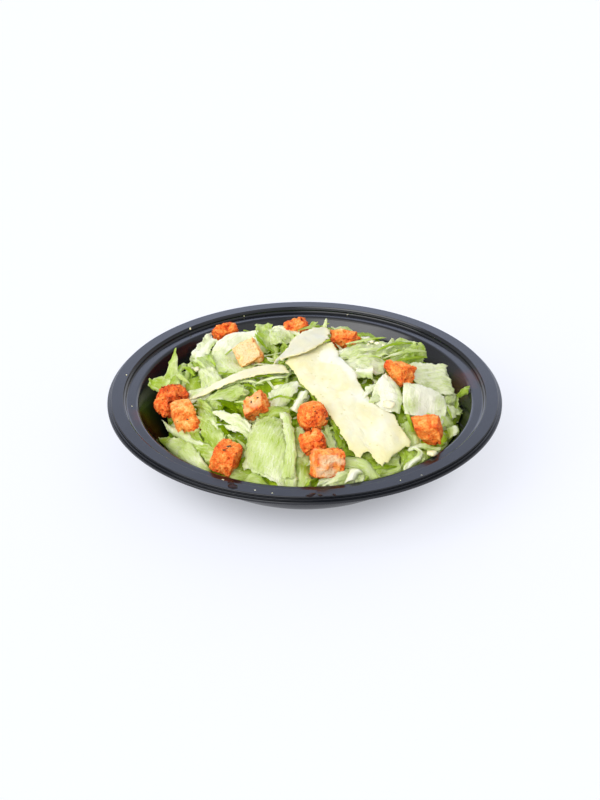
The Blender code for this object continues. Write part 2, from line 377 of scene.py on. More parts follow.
# Fine moulding texture breaks up the gloss, and faint wipes and dust lift the black. The
# lower wall is duller, from handling outside and from dressing inside.
place = node(tree, "ShaderNodeTexCoord").outputs["Object"]
grain = node(tree, "ShaderNodeTexNoise", {"Vector": place, "Scale": 2600.0, "Detail": 3.0})
haze = node(tree, "ShaderNodeTexNoise", {"Vector": place, "Scale": 45.0, "Detail": 5.0, "Roughness": 0.65})
gloss = node(
    tree,
    "ShaderNodeMapRange",
    {"Value": haze, "From Min": 0.3, "From Max": 0.7, "To Min": 0.13, "To Max": 0.21},
)
coat = node(
    tree, "ShaderNodeMix", {0: haze, 6: linear("#0A0C11"), 7: linear("#11141B")}, data_type="RGBA"
)
# The wall is a dark red in two ragged patches, at the left and the right.
patch_noise = node(tree, "ShaderNodeTexNoise", {"Vector": place, "Scale": 130.0, "Detail": 3.0})
for spot, reach in (((-0.0825, -0.020, 0.026), 0.017), ((0.083, 0.016, 0.029), 0.015)):
    far = node(tree, "ShaderNodeVectorMath", {0: place, 1: spot}, operation="DISTANCE")
    ragged = node(tree, "ShaderNodeMath", {0: patch_noise, 1: -0.022, 2: far}, operation="MULTIPLY_ADD")
    red_patch = node(
        tree,
        "ShaderNodeMapRange",
        {"Value": ragged, "From Min": reach - 0.012, "From Max": reach - 0.019, "To Max": 0.9},
    )
    coat = node(tree, "ShaderNodeMix", {0: red_patch, 6: coat, 7: linear("#3A0F09")}, data_type="RGBA")
across, _, height = node(tree, "ShaderNodeSeparateXYZ", {0: place}).outputs
shine = node(
    tree,
    "ShaderNodeMapRange",
    {"Value": height, "From Min": GLOSS_FROM, "From Max": GLOSS_FULL, "To Min": 0.14, "To Max": 0.5},
)
# Dressing has dulled the bare wall on the left, but not the ledge above it.
dulled = node(
    tree,
    "ShaderNodeMapRange",
    {"Value": across, "From Min": DULL_FROM, "From Max": DULL_FULL, "To Min": 1.0, "To Max": 0.32},
)
above = node(tree, "ShaderNodeMapRange", {"Value": height, "From Min": LEDGE_FROM, "From Max": LEDGE_FULL})
kept = node(tree, "ShaderNodeMath", {0: dulled, 1: above}, operation="MAXIMUM")
shine = node(tree, "ShaderNodeMath", {0: shine, 1: kept}, operation="MULTIPLY")
relief = node(tree, "ShaderNodeBump", {"Height": grain, "Strength": 0.12, "Distance": 0.00008})
body = node(
    tree,
    "ShaderNodeBsdfPrincipled",
    {"Base Color": coat, "Roughness": gloss, "Normal": relief, "IOR": 1.49, "Specular IOR Level": shine},
)
finish_material(tree, body)

profile = bpy.data.meshes.new("bowl_profile")
section = bmesh.new()
corners = [section.verts.new((r * MM, -z * MM, 0)) for r, z in bowl_profile()]
for first, second in zip(corners, corners[1:]):
    section.edges.new((first, second))
section.to_mesh(profile)
section.free()

# The circle is tiny, so that the profile's own radius is the bowl's.
HUB = 0.000001
tree, given = geometry_tree("turned shell", ("Steps", "Int"), ("Hub", "Float"))
half = node(tree, "GeometryNodeMeshToCurve", {"Mesh": given["Geometry"]})
ring = node(
    tree, "GeometryNodeCurvePrimitiveCircle", {"Resolution": given["Steps"], "Radius": given["Hub"]}
)
shell = node(tree, "GeometryNodeCurveToMesh", {"Curve": ring, "Profile Curve": half})
close_tree(tree, shell, plastic)
shell_mesh = grown("bowl_shell", profile, tree, {"Steps": TURN_STEPS, "Hub": HUB})


def closed_up(mesh, merge):
    """Merges doubles and turns the faces outward."""
    work = bmesh.new()
    work.from_mesh(mesh)
    bmesh.ops.remove_doubles(work, verts=work.verts, dist=merge)
    bmesh.ops.recalc_face_normals(work, faces=work.faces)
    work.to_mesh(mesh)
    work.free()
    mesh.shade_smooth()


closed_up(shell_mesh, 0.00002)
shell_mesh.set_sharp_from_angle(angle=math.radians(50))
bowl = mesh_object("bowl_shell", shell_mesh)
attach(bowl, "root")
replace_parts(bowl, "bowl")

# The ribs of the skirt's lower step: upright bars at an even pitch.
RIB_PITCH = 1.05
RIB = (0.42, 0.32, 0.85)  # across, proud and tall
tree, given = geometry_tree(
    "skirt ribs", ("Count", "Int"), ("Radius", "Float"), ("Height", "Float"), ("Rib", "Vector")
)
ring = node(tree, "GeometryNodeMeshCircle", {"Vertices": given["Count"], "Radius": given["Radius"]})
lift = node(tree, "ShaderNodeCombineXYZ", {"Z": given["Height"]})
raised = node(tree, "GeometryNodeSetPosition", {"Geometry": ring, "Offset": lift})
turn = node(tree, "ShaderNodeMath", {0: math.tau, 1: given["Count"]}, operation="DIVIDE")
index = node(tree, "GeometryNodeInputIndex")
angle = node(tree, "ShaderNodeMath", {0: index, 1: turn}, operation="MULTIPLY")
facing = node(tree, "ShaderNodeCombineXYZ", {"Z": angle})
bar = node(tree, "GeometryNodeMeshCube", {"Size": given["Rib"]})
ribs = node(tree, "GeometryNodeInstanceOnPoints", {"Points": raised, "Instance": bar, "Rotation": facing})
close_tree(tree, ribs, plastic)
ribs_mesh = grown(
    "skirt_ribs",
    bpy.data.meshes.new("empty"),
    tree,
    {
        "Count": round(math.tau * BOWL_RADIUS / RIB_PITCH),
        "Radius": (BOWL_RADIUS - RIB[1] / 2 - 0.02) * MM,
        "Height": (BOWL_HEIGHT - 3.0) * MM,
        "Rib": (RIB[1] * MM, RIB[0] * MM, RIB[2] * MM),
    },
)
skirt_ribs = mesh_object("skirt_ribs", ribs_mesh)
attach(skirt_ribs, "root")

# ---------------------------------------------------------------------------------------
# The lettuce underneath. The heap's inside can't be seen, so one smaller mound of packed wet
# leaf fills it, ridged like leaves that are pressed together, and the loose leaves lie on it.

HEAP_GAP = 0.4
MOUND_TOP, MOUND_POWER, MOUND_LEAN = 14.5, 3.4, 0.11
EDGE_DEPTH, EDGE_TILT, EDGE_WAVE = 9.5, 4.0, 1.3
SLUMP, SLUMP_ANGLE, SLUMP_WIDTH = 8.0, math.radians(196), math.radians(26)
CORE_SINK = 3.6
CORE_GAP = 2.4  # that the core keeps to the wall, and 0.2 less at its upper edge
BARE_ANGLE, BARE_WIDTH = math.radians(183), math.radians(17)  # where the wall shows on the left
BARE_DEPTH = 6.0
WAVES = 7  # sines that add up to an unevenness

wall_line = np.array(inner_wall(40))


def wall_radius(height):
    """The bowl's inside radius at a height over the floor."""
    return np.interp(height, wall_line[:, 1], wall_line[:, 0])


def edge_depth(angle):
    """How far under the rim the heap meets the wall."""
    wave = np.sin(3 * angle + 0.7) + 0.6 * np.sin(7 * angle + 2.1)
    away = (np.mod(angle - SLUMP_ANGLE + math.pi, math.tau) - math.pi) / SLUMP_WIDTH
    return EDGE_DEPTH + EDGE_TILT * np.sin(angle) + EDGE_WAVE * wave + SLUMP * np.exp(-away * away)


def mound(x, y):
    """The height over the floor of the heap's smooth top."""
    depth = edge_depth(np.arctan2(y, x))
    share = np.minimum(np.hypot(x, y) / (wall_radius(BOWL_HEIGHT - depth) - HEAP_GAP), 1.0)
    edge = share**MOUND_POWER
    return BOWL_HEIGHT + MOUND_TOP * (1 - edge) - depth * edge + MOUND_LEAN * y * (1 - share**2)


def behind(y):
    """How far back a place lies, from 0 near the middle to 1 near the far wall."""
    return np.clip((y - 15) / 30, 0, 1)


def waves(seed, x, y, length):
    """Smooth unevenness between about -1 and 1, of a given wavelength."""
    rng = np.random.default_rng(seed)
    total = np.zeros_like(np.asarray(x, dtype=float))
    for _ in range(WAVES):
        turn, start = rng.uniform(0, math.tau, 2)
        pitch = length * rng.uniform(0.7, 1.5)
        total += np.sin(math.tau * (x * math.cos(turn) + y * math.sin(turn)) / pitch + start)
    return total / math.sqrt(WAVES)


def leaf_material(name, stops, glow, roughness):
    """Wet cut lettuce. The green attribute runs from white rib to green outer leaf, the
    veins follow the leaf's own length, and thin leaf lets a yellower light through."""
    made, tree = new_material(name)
    greenness = node(tree, "ShaderNodeAttribute", attribute_name="green").outputs["Fac"]
    tone = node(tree, "ShaderNodeAttribute", attribute_name="tone").outputs["Fac"]
    along = node(tree, "ShaderNodeUVMap", uv_map="veins")
    place = node(tree, "ShaderNodeTexCoord").outputs["Object"]
    cloud = node(tree, "ShaderNodeTexNoise", {"Vector": place, "Scale": 160.0, "Detail": 4.0})
    drift = node(
        tree,
        "ShaderNodeMapRange",
        {"Value": cloud, "From Min": 0.3, "From Max": 0.7, "To Min": -0.05, "To Max": 0.05},
    )
    bent = node(
        tree, "ShaderNodeTexNoise", {"Vector": along, "Scale": 0.35, "Detail": 2.0}, noise_dimensions="2D"
    )
    wander = node(
        tree, "ShaderNodeVectorMath", {0: bent.outputs["Color"], 1: (2.4, 2.4, 0.0)}, operation="MULTIPLY"
    )
    grown_along = node(tree, "ShaderNodeVectorMath", {0: along, 1: wander}, operation="ADD")
    # Netted veins, about 3 mm apart and twice as long as wide.
    netted = node(tree, "ShaderNodeMapping", {"Vector": grown_along, "Scale": (0.34, 0.15, 1.0)})
    cells = node(
        tree,
        "ShaderNodeTexVoronoi",
        {"Vector": netted, "Scale": 1.0},
        voronoi_dimensions="2D",
        feature="DISTANCE_TO_EDGE",
    )
    vein = node(
        tree,
        "ShaderNodeMapRange",
        {"Value": cells, "From Min": 0.0, "From Max": 0.10, "To Min": 1.0, "To Max": 0.0},
        interpolation_type="SMOOTHSTEP",
    )
    # Fine grain along the leaf, half a millimetre across.
    grain_map = node(tree, "ShaderNodeMapping", {"Vector": grown_along, "Scale": (2.2, 0.10, 1.0)})
    grain = node(
        tree,
        "ShaderNodeTexNoise",
        {"Vector": grain_map, "Scale": 1.0, "Detail": 3.0},
        noise_dimensions="2D",
    )
    grain_shift = node(
        tree,
        "ShaderNodeMapRange",
        {"Value": grain, "From Min": 0.3, "From Max": 0.7, "To Min": -0.07, "To Max": 0.07},
    )
    vein_shift = node(tree, "ShaderNodeMath", {0: vein, 1: -0.07}, operation="MULTIPLY")
    level = greenness
    for extra in (tone, drift, grain_shift, vein_shift):
        level = node(tree, "ShaderNodeMath", {0: level, 1: extra}, operation="ADD")
    ramp = node(tree, "ShaderNodeValToRGB", {"Fac": level})
    ramp.color_ramp.interpolation = "EASE"
    set_stops(ramp, stops)
    height = node(tree, "ShaderNodeMath", {0: grain, 1: vein}, operation="ADD")
    relief = node(tree, "ShaderNodeBump", {"Height": height, "Strength": 0.55, "Distance": 0.00022})
    wetness = node(tree, "ShaderNodeTexNoise", {"Vector": place, "Scale": 320.0, "Detail": 2.0})
    rough = node(
        tree,
        "ShaderNodeMapRange",
        {
            "Value": wetness,
            "From Min": 0.35,
            "From Max": 0.65,
            "To Min": roughness - 0.10,
            "To Max": roughness + 0.12,
        },
    )
    sheen = node(
        tree,
        "ShaderNodeMapRange",
        {"Value": level, "From Min": 0.45, "From Max": 0.80, "To Min": 0.5, "To Max": 0.15},
    )
    skin = node(
        tree,
        "ShaderNodeBsdfPrincipled",
        {
            "Base Color": ramp,
            "Roughness": rough,
            "Normal": relief,
            "IOR": 1.36,
            "Specular IOR Level": sheen,
        },
    )
    through = node(
        tree,
        "ShaderNodeMix",
        {0: 1.0, 6: ramp, 7: linear("#FCFF90")},
        data_type="RGBA",
        blend_type="MULTIPLY",
    )
    backlit = node(tree, "ShaderNodeBsdfTranslucent", {"Color": through, "Normal": relief})
    thin = node(
        tree,
        "ShaderNodeMapRange",
        {"Value": level, "From Min": 0.05, "From Max": 0.75, "To Min": glow * 0.25, "To Max": glow},
    )
    mixed = node(tree, "ShaderNodeMixShader", {0: thin, 1: skin, 2: backlit})
    finish_material(tree, mixed)
    return made


LEAF_STOPS = (
    (0.0, "#FBFAE6"),
    (1.0, "#98B402"),
    (0.18, "#F0F4D0"),
    (0.38, "#E0ECA4"),
    (0.58, "#C8DE52"),
    (0.80, "#B4D010"),
)
# The packed core's bright yellow-green is painted light, standing for light let down through the leaves
# above, and its darker green is painted shade.
PACKED_GLOW_AND_SHADE_STOPS = ((0.0, "#D0EA34"), (1.0, "#749612"))
leaf_skin = leaf_material("iceberg leaf, cut and washed", LEAF_STOPS, 0.72, 0.34)
packed_glow_and_shade = leaf_material("packed leaf, painted glow and shade", PACKED_GLOW_AND_SHADE_STOPS, 0.0, 0.34)

ANGLES, RINGS, UNDER_RINGS = 200, 60, 14


def grid_faces(rows, columns, wrap=False):
    """Quads between the neighbouring points of a grid stored row by row."""
    across = columns if wrap else columns - 1
    row, column = np.meshgrid(np.arange(rows - 1), np.arange(across), indexing="ij")
    after = (column + 1) % columns
    near, far = row * columns, (row + 1) * columns
    return np.stack([near + column, near + after, far + after, far + column], axis=-1).reshape(-1, 4)


def store(mesh, values):
    """Keeps a value at each point of a mesh under each name."""
    for label, data in values.items():
        made = mesh.attributes.new(label, "FLOAT", "POINT")
        made.data.foreach_set("value", np.asarray(data, dtype=np.float32))


def quads_mesh(name, points, faces, values, veins=None):
    """A smooth mesh from points in millimetres, with point attributes and a UV map."""
    mesh = bpy.data.meshes.new(name)
    mesh.vertices.add(len(points))
    mesh.vertices.foreach_set("co", (np.asarray(points) * MM).ravel())
    mesh.loops.add(faces.size)
    mesh.loops.foreach_set("vertex_index", faces.ravel())
    mesh.polygons.add(len(faces))
    mesh.polygons.foreach_set("loop_start", np.arange(0, faces.size, 4))
    mesh.update(calc_edges=True)
    store(mesh, values)
    if veins is not None:
        layer = mesh.uv_layers.new(name="veins")
        layer.data.foreach_set("uv", veins[faces.ravel()].astype(np.float32).ravel())
    mesh.shade_smooth()
    return mesh


turn = np.linspace(0, math.tau, ANGLES, endpoint=False)
top_share = np.linspace(0.02, 1, RINGS)[:, None]
bare = np.exp(-(((turn - BARE_ANGLE) / BARE_WIDTH) ** 2))
reach = wall_radius(BOWL_HEIGHT - edge_depth(turn)) - (CORE_GAP - 0.2) - BARE_DEPTH * bare
x, y = top_share * reach * np.cos(turn), top_share * reach * np.sin(turn)
ridges = 1.0 - np.abs(waves(11, x, y, 17)) * 1.4
z = mound(x, y) - CORE_SINK - 2 * behind(y) + 1.8 * ridges + 0.6 * waves(12, x, y, 9)
# It sinks further where only low leaves cover it, and is painted darker there, a painted shade.
low = np.clip((top_share - 0.55) / 0.2, 0, 1) * np.clip(np.maximum((y - 26) / 10, (-44 - x) / 8), 0, 1)
z -= 2.4 * low
fitting = np.minimum(1, (wall_radius(z) - CORE_GAP) / np.maximum(np.hypot(x, y), 1.0))
x, y = x * fitting, y * fitting
under_share = np.linspace(1, 0.02, UNDER_RINGS)[:, None]
floor_height = BASE_LIFT + WALL + 1.0
under_z = floor_height + (z[-1] - floor_height) * np.clip((under_share - 0.6) / 0.4, 0, 1)
under_r = np.minimum(wall_radius(under_z) - CORE_GAP, reach * fitting[-1])
under_r = under_r * np.minimum(1, under_share / 0.6)
x = np.concatenate([x, (under_r * np.cos(turn))[1:]])
y = np.concatenate([y, (under_r * np.sin(turn))[1:]])
z = np.concatenate([z, under_z[1:]])
points = np.stack([x, y, z], axis=-1).reshape(-1, 3)
faces = grid_faces(len(x), ANGLES, wrap=True)
core_green_and_shade = 0.45 + 0.2 * waves(13, points[:, 0], points[:, 1], 15)
core_green_and_shade[: low.size] += 0.5 * low.ravel()
core_mesh = quads_mesh(
    "lettuce_core",
    points,
    faces,
    {"green": core_green_and_shade, "tone": np.zeros(len(points))},
    points[:, :2] + 500,
)
caps = bmesh.new()
caps.from_mesh(core_mesh)
bmesh.ops.holes_fill(caps, edges=[e for e in caps.edges if e.is_boundary], sides=0)
bmesh.ops.recalc_face_normals(caps, faces=caps.faces)
caps.to_mesh(core_mesh)
caps.free()
core = mesh_object("lettuce_core", core_mesh, packed_glow_and_shade)
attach(core, "root")
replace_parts(core, "lettuce_heap")

# ---------------------------------------------------------------------------------------
# The cut leaves. Each is a closed sheet, thick and white near the rib and thin at the
# leaf's edge, puckered between its veins and bent as it lies on its neighbours.

GRID = 0.62  # between a leaf's points
SKIN_GAP = 0.6  # that leaves keep to the bowl's wall
RIB_LINE = 0.5  # how far across a leaf its rib runs


def sheet_shell(middle, thickness):
    """A closed sheet round a grid of points: its points and faces."""
    rows, columns = middle.shape[:2]
    slope = np.cross(np.gradient(middle, axis=1), np.gradient(middle, axis=0))
    normal = slope / np.maximum(np.linalg.norm(slope, axis=-1, keepdims=True), 1e-9)
    half = 0.5 * thickness[..., None] * normal
    upper = (middle + half).reshape(-1, 3)
    lower = (middle - half).reshape(-1, 3)
    count = rows * columns
    top = grid_faces(rows, columns)
    index = np.arange(count).reshape(rows, columns)
    rim = np.concatenate([index[0, :-1], index[:-1, -1], index[-1, :0:-1], index[:0:-1, 0]])
    ahead = np.roll(rim, -1)
    side = np.stack([ahead, rim, rim + count, ahead + count], axis=-1)
    return np.concatenate([upper, lower]), np.concatenate([top, top[:, ::-1] + count, side])


def evenly(line, count):
    """Points spaced evenly along a line."""
    line = np.array(line, dtype=float)
    run = np.concatenate([[0], np.cumsum(np.linalg.norm(np.diff(line, axis=0), axis=1))])
    spots = np.linspace(0, run[-1], count)
    return np.stack([np.interp(spots, run, each) for each in line.T], axis=-1)


def path(points, count, settle):
    """A smooth line through points, each (across, deep, height over the heap)."""
    line = np.array(points, dtype=float)
    if len(line) > 2:
        ends = np.vstack([2 * line[0] - line[1], line, 2 * line[-1] - line[-2]])
        t = np.linspace(0, 1, 8, endpoint=False)[:, None]
        fine = []
        for a, b, c, d in zip(ends, ends[1:], ends[2:], ends[3:]):
            fine.append(0.5 * (2 * b + (c - a) * t + (2 * a - 5 * b + 4 * c - d) * t**2
                               + (3 * b - a - 3 * c + d) * t**3))
        line = np.vstack([*fine, line[-1:]])
    line = evenly(line, count)
    if settle:
        line[:, 2] += mound(line[:, 0], line[:, 1])
    return line


def leaf(left, right, green=0.3, fade=0.0, cross=0.0, crown=0.7, arch=0.0, ruffle=0.0, frill=8.0,
         ragged=0.30, pucker=0.45, pleat=(0.0, 3.0), thick=(0.42, 0.42), veined=0.65, grid=GRID, seed=1,
         settle=True):
    """One cut piece between its two long edges. Its veins run along them, from start to end."""
    rng = np.random.default_rng(seed)
    ends = [path(line, 9, settle) for line in (left, right)]
    width = np.linalg.norm(ends[1] - ends[0], axis=1).max()
    length = max(np.linalg.norm(np.diff(line, axis=0), axis=1).sum() for line in ends)
    columns = max(7, min(60, round(width / grid)))
    rows = max(9, min(84, round(length / grid)))
    left, right = path(left, rows, settle), path(right, rows, settle)
    span = right - left
    wide = np.maximum(np.linalg.norm(span, axis=1, keepdims=True), 0.3)
    across = span / wide
    ahead = np.gradient((left + right) / 2, axis=0)
    ahead /= np.maximum(np.linalg.norm(ahead, axis=1, keepdims=True), 1e-6)
    up = np.cross(across, ahead)
    up /= np.maximum(np.linalg.norm(up, axis=1, keepdims=True), 1e-6)
    flip = up[:, 2].mean() < 0
    up = -up if flip else up
    u, v = np.meshgrid(np.linspace(0, 1, columns), np.linspace(0, 1, rows))
    side, end = 2 * u - 1, 2 * v - 1
    du, dv = u * wide, v * length
    slim = np.clip(wide / 4, 0.15, 1)
    near_side, near_end = np.abs(side) ** 6, np.abs(end) ** 6
    notch = np.maximum(0, waves(seed + 12, dv, side * 40, 5.5) - 0.75)
    shift = 1.6 * waves(seed + 1, dv, side * 40, 7) + waves(seed + 2, dv, side * 40, 2.2) - 3.5 * notch
    shift = np.sign(side) * near_side * ragged * shift
    end_fray = ragged * (2.6 * waves(seed + 3, du, end * 40, 5) + 1.4 * waves(seed + 4, du, end * 40, 2.0))
    shift_end = np.sign(end) * near_end * end_fray
    rise = crown * (1 - side**2) + arch * (1 - end**2)
    rise += 0.06 * width * waves(seed + 5, du, dv, 1.2 * max(width, 9))
    ribbed = np.exp(-(((u - RIB_LINE) / 0.2) ** 2))
    soft = 1 - 0.6 * ribbed
    rise += pucker * soft * (waves(seed + 6, du * 1.4, dv, 6) + 0.4 * waves(seed + 13, du * 1.4, dv, 2.8))
    # The veins stand up along the leaf where two soft unevennesses cross nought.
    vein = veined * np.clip(1 - np.abs(waves(seed + 11, du, dv * 0.4, 7)) * 1.2, 0, 1) ** 3
    rise += 0.2 * vein
    wander = 0.5 * waves(seed + 7, du * 0.6, dv * 0.5, 11)
    rise += pleat[0] * (1 - near_end) * np.cos(math.tau * (du / pleat[1] + wander))
    flare = np.abs(side) ** 2.2
    phase = math.tau * dv / frill + 0.8 * waves(seed + 8, du, dv, 12)
    rise += ruffle * flare * np.sin(phase + np.where(side > 0, rng.uniform(0, 6), 0.0))
    shift += 0.4 * ruffle * np.sign(side) * flare * np.cos(phase + 1.0)
    middle = left[:, None] + span[:, None] * u[..., None]
    middle = middle + across[:, None] * (shift * slim)[..., None]
    middle = middle + ahead[:, None] * shift_end[..., None] + up[:, None] * (rise * slim)[..., None]
    swell = np.exp(-(((u - RIB_LINE) / 0.28) ** 2))
    thickness = (thick[0] + (thick[1] - thick[0]) * swell) * (1 - 0.65 * np.maximum(near_side, near_end))
    points, faces = sheet_shell(middle, thickness)
    a, b, c, d = (points[faces[:, k]] - points[0] for k in range(4))
    if np.einsum("ij,ij->", a, np.cross(b, c)) + np.einsum("ij,ij->", a, np.cross(c, d)) < 0:
        faces = faces[:, ::-1]
    colour = green + fade * (v - 0.5) + cross * (u - 0.5) + 0.07 * waves(seed + 9, du, dv, 15)
    colour += 0.03 * waves(seed + 10, du * 2, dv * 0.4, 3) - 0.05 * np.maximum(near_side, near_end)
    colour -= 0.11 * vein
    colour -= 0.3 * ribbed * (thick[1] > thick[0] + 0.1)
    colour = np.tile(np.clip(colour, 0, 1).ravel(), 2)
    origin = rng.uniform(0, 400, 2)
    veins = np.tile(np.stack([du, dv], axis=-1).reshape(-1, 2), (2, 1)) + origin
    return points, faces, colour, veins


def keep_inside(points):
    """Presses whatever reaches the bowl against its wall, and off its ledge."""
    radius = np.hypot(points[:, 0], points[:, 1])
    ledge = BOWL_HEIGHT - LEDGE_DROP
    room = np.where(points[:, 2] < ledge + SKIN_GAP, wall_radius(points[:, 2]), LEDGE_OUTER) - SKIN_GAP
    share = np.minimum(1.0, room / np.maximum(radius, 1e-6))
    points[:, 0] *= share
    points[:, 1] *= share
    points[:, 2] = np.maximum(points[:, 2], BASE_LIFT + WALL + SKIN_GAP)
    return points


def lay(name, pieces):
    """One object from several leaves, kept inside the bowl."""
    points, faces, colour, veins = zip(*pieces)
    starts = np.cumsum([0] + [len(each) for each in points[:-1]])
    faces = np.concatenate([each + start for each, start in zip(faces, starts)])
    points = keep_inside(np.concatenate(points))
    looks = {"green": np.concatenate(colour), "tone": np.zeros(len(points))}
    mesh = quads_mesh(name, points, faces, looks, np.concatenate(veins))
    made = mesh_object(name, mesh, leaf_skin)
    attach(made, "root")


# Thick white-green pieces from near the heart, smooth and stiff.
lay("lettuce_hearts", [
    leaf([(-44, -4, 0), (-50, 4, 1), (-51, 16, 1.5), (-48, 27, 3), (-43, 35, 4.2)],
         [(-33, -8, 0), (-26, 2, 0.8), (-23.5, 13, 1), (-24.5, 26, 2.5), (-26, 38, 4.5)], green=0.24,
         fade=-0.42, crown=-1.8, thick=(0.9, 0.95), pucker=0.25, ragged=0.1, veined=0.3, seed=101),
    leaf([(50.5, -18, 4.8), (49.5, -29, 3.5), (50.5, -40, 2.5)],
         [(73, -13, 5.2), (74, -25, 4), (71.5, -36, 2.5)], green=0.22, crown=1.6, thick=(0.9, 1.5),
         pucker=0.25, ragged=0.1, seed=102),
    leaf([(36, -21, 3), (34.5, -31, 2.6), (36, -41, 2)],
         [(42.5, -9.5, 5), (48, -18, 4.2), (50.5, -28, 3.5), (48.5, -39, 2.4)], green=0.24, fade=0.1,
         crown=1.6, thick=(0.9, 1.4), pucker=0.3, ragged=0.12, seed=103),
    leaf([(73.5, -36, 0.5), (74, -42.5, 0)], [(78.5, -31, 1), (79.5, -39, 0.5)], green=0.42, crown=1.8,
         arch=1.2, thick=(1.4, 2.2), pucker=0.1, ragged=0.1, seed=104),
    leaf([(-7.5, -40.5, 2), (-2, -26, 3)], [(-4, -42.5, 2), (2, -28.5, 3)], green=0.30, crown=0.8,
         thick=(0.8, 1.2), pucker=0.1, seed=105),
    leaf([(26, -13, 2.5), (36, -13, 2.5)], [(27, -4.5, 3), (36, -3, 3)], green=0.30, crown=1.4,
         thick=(0.8, 1.3), seed=106),
])

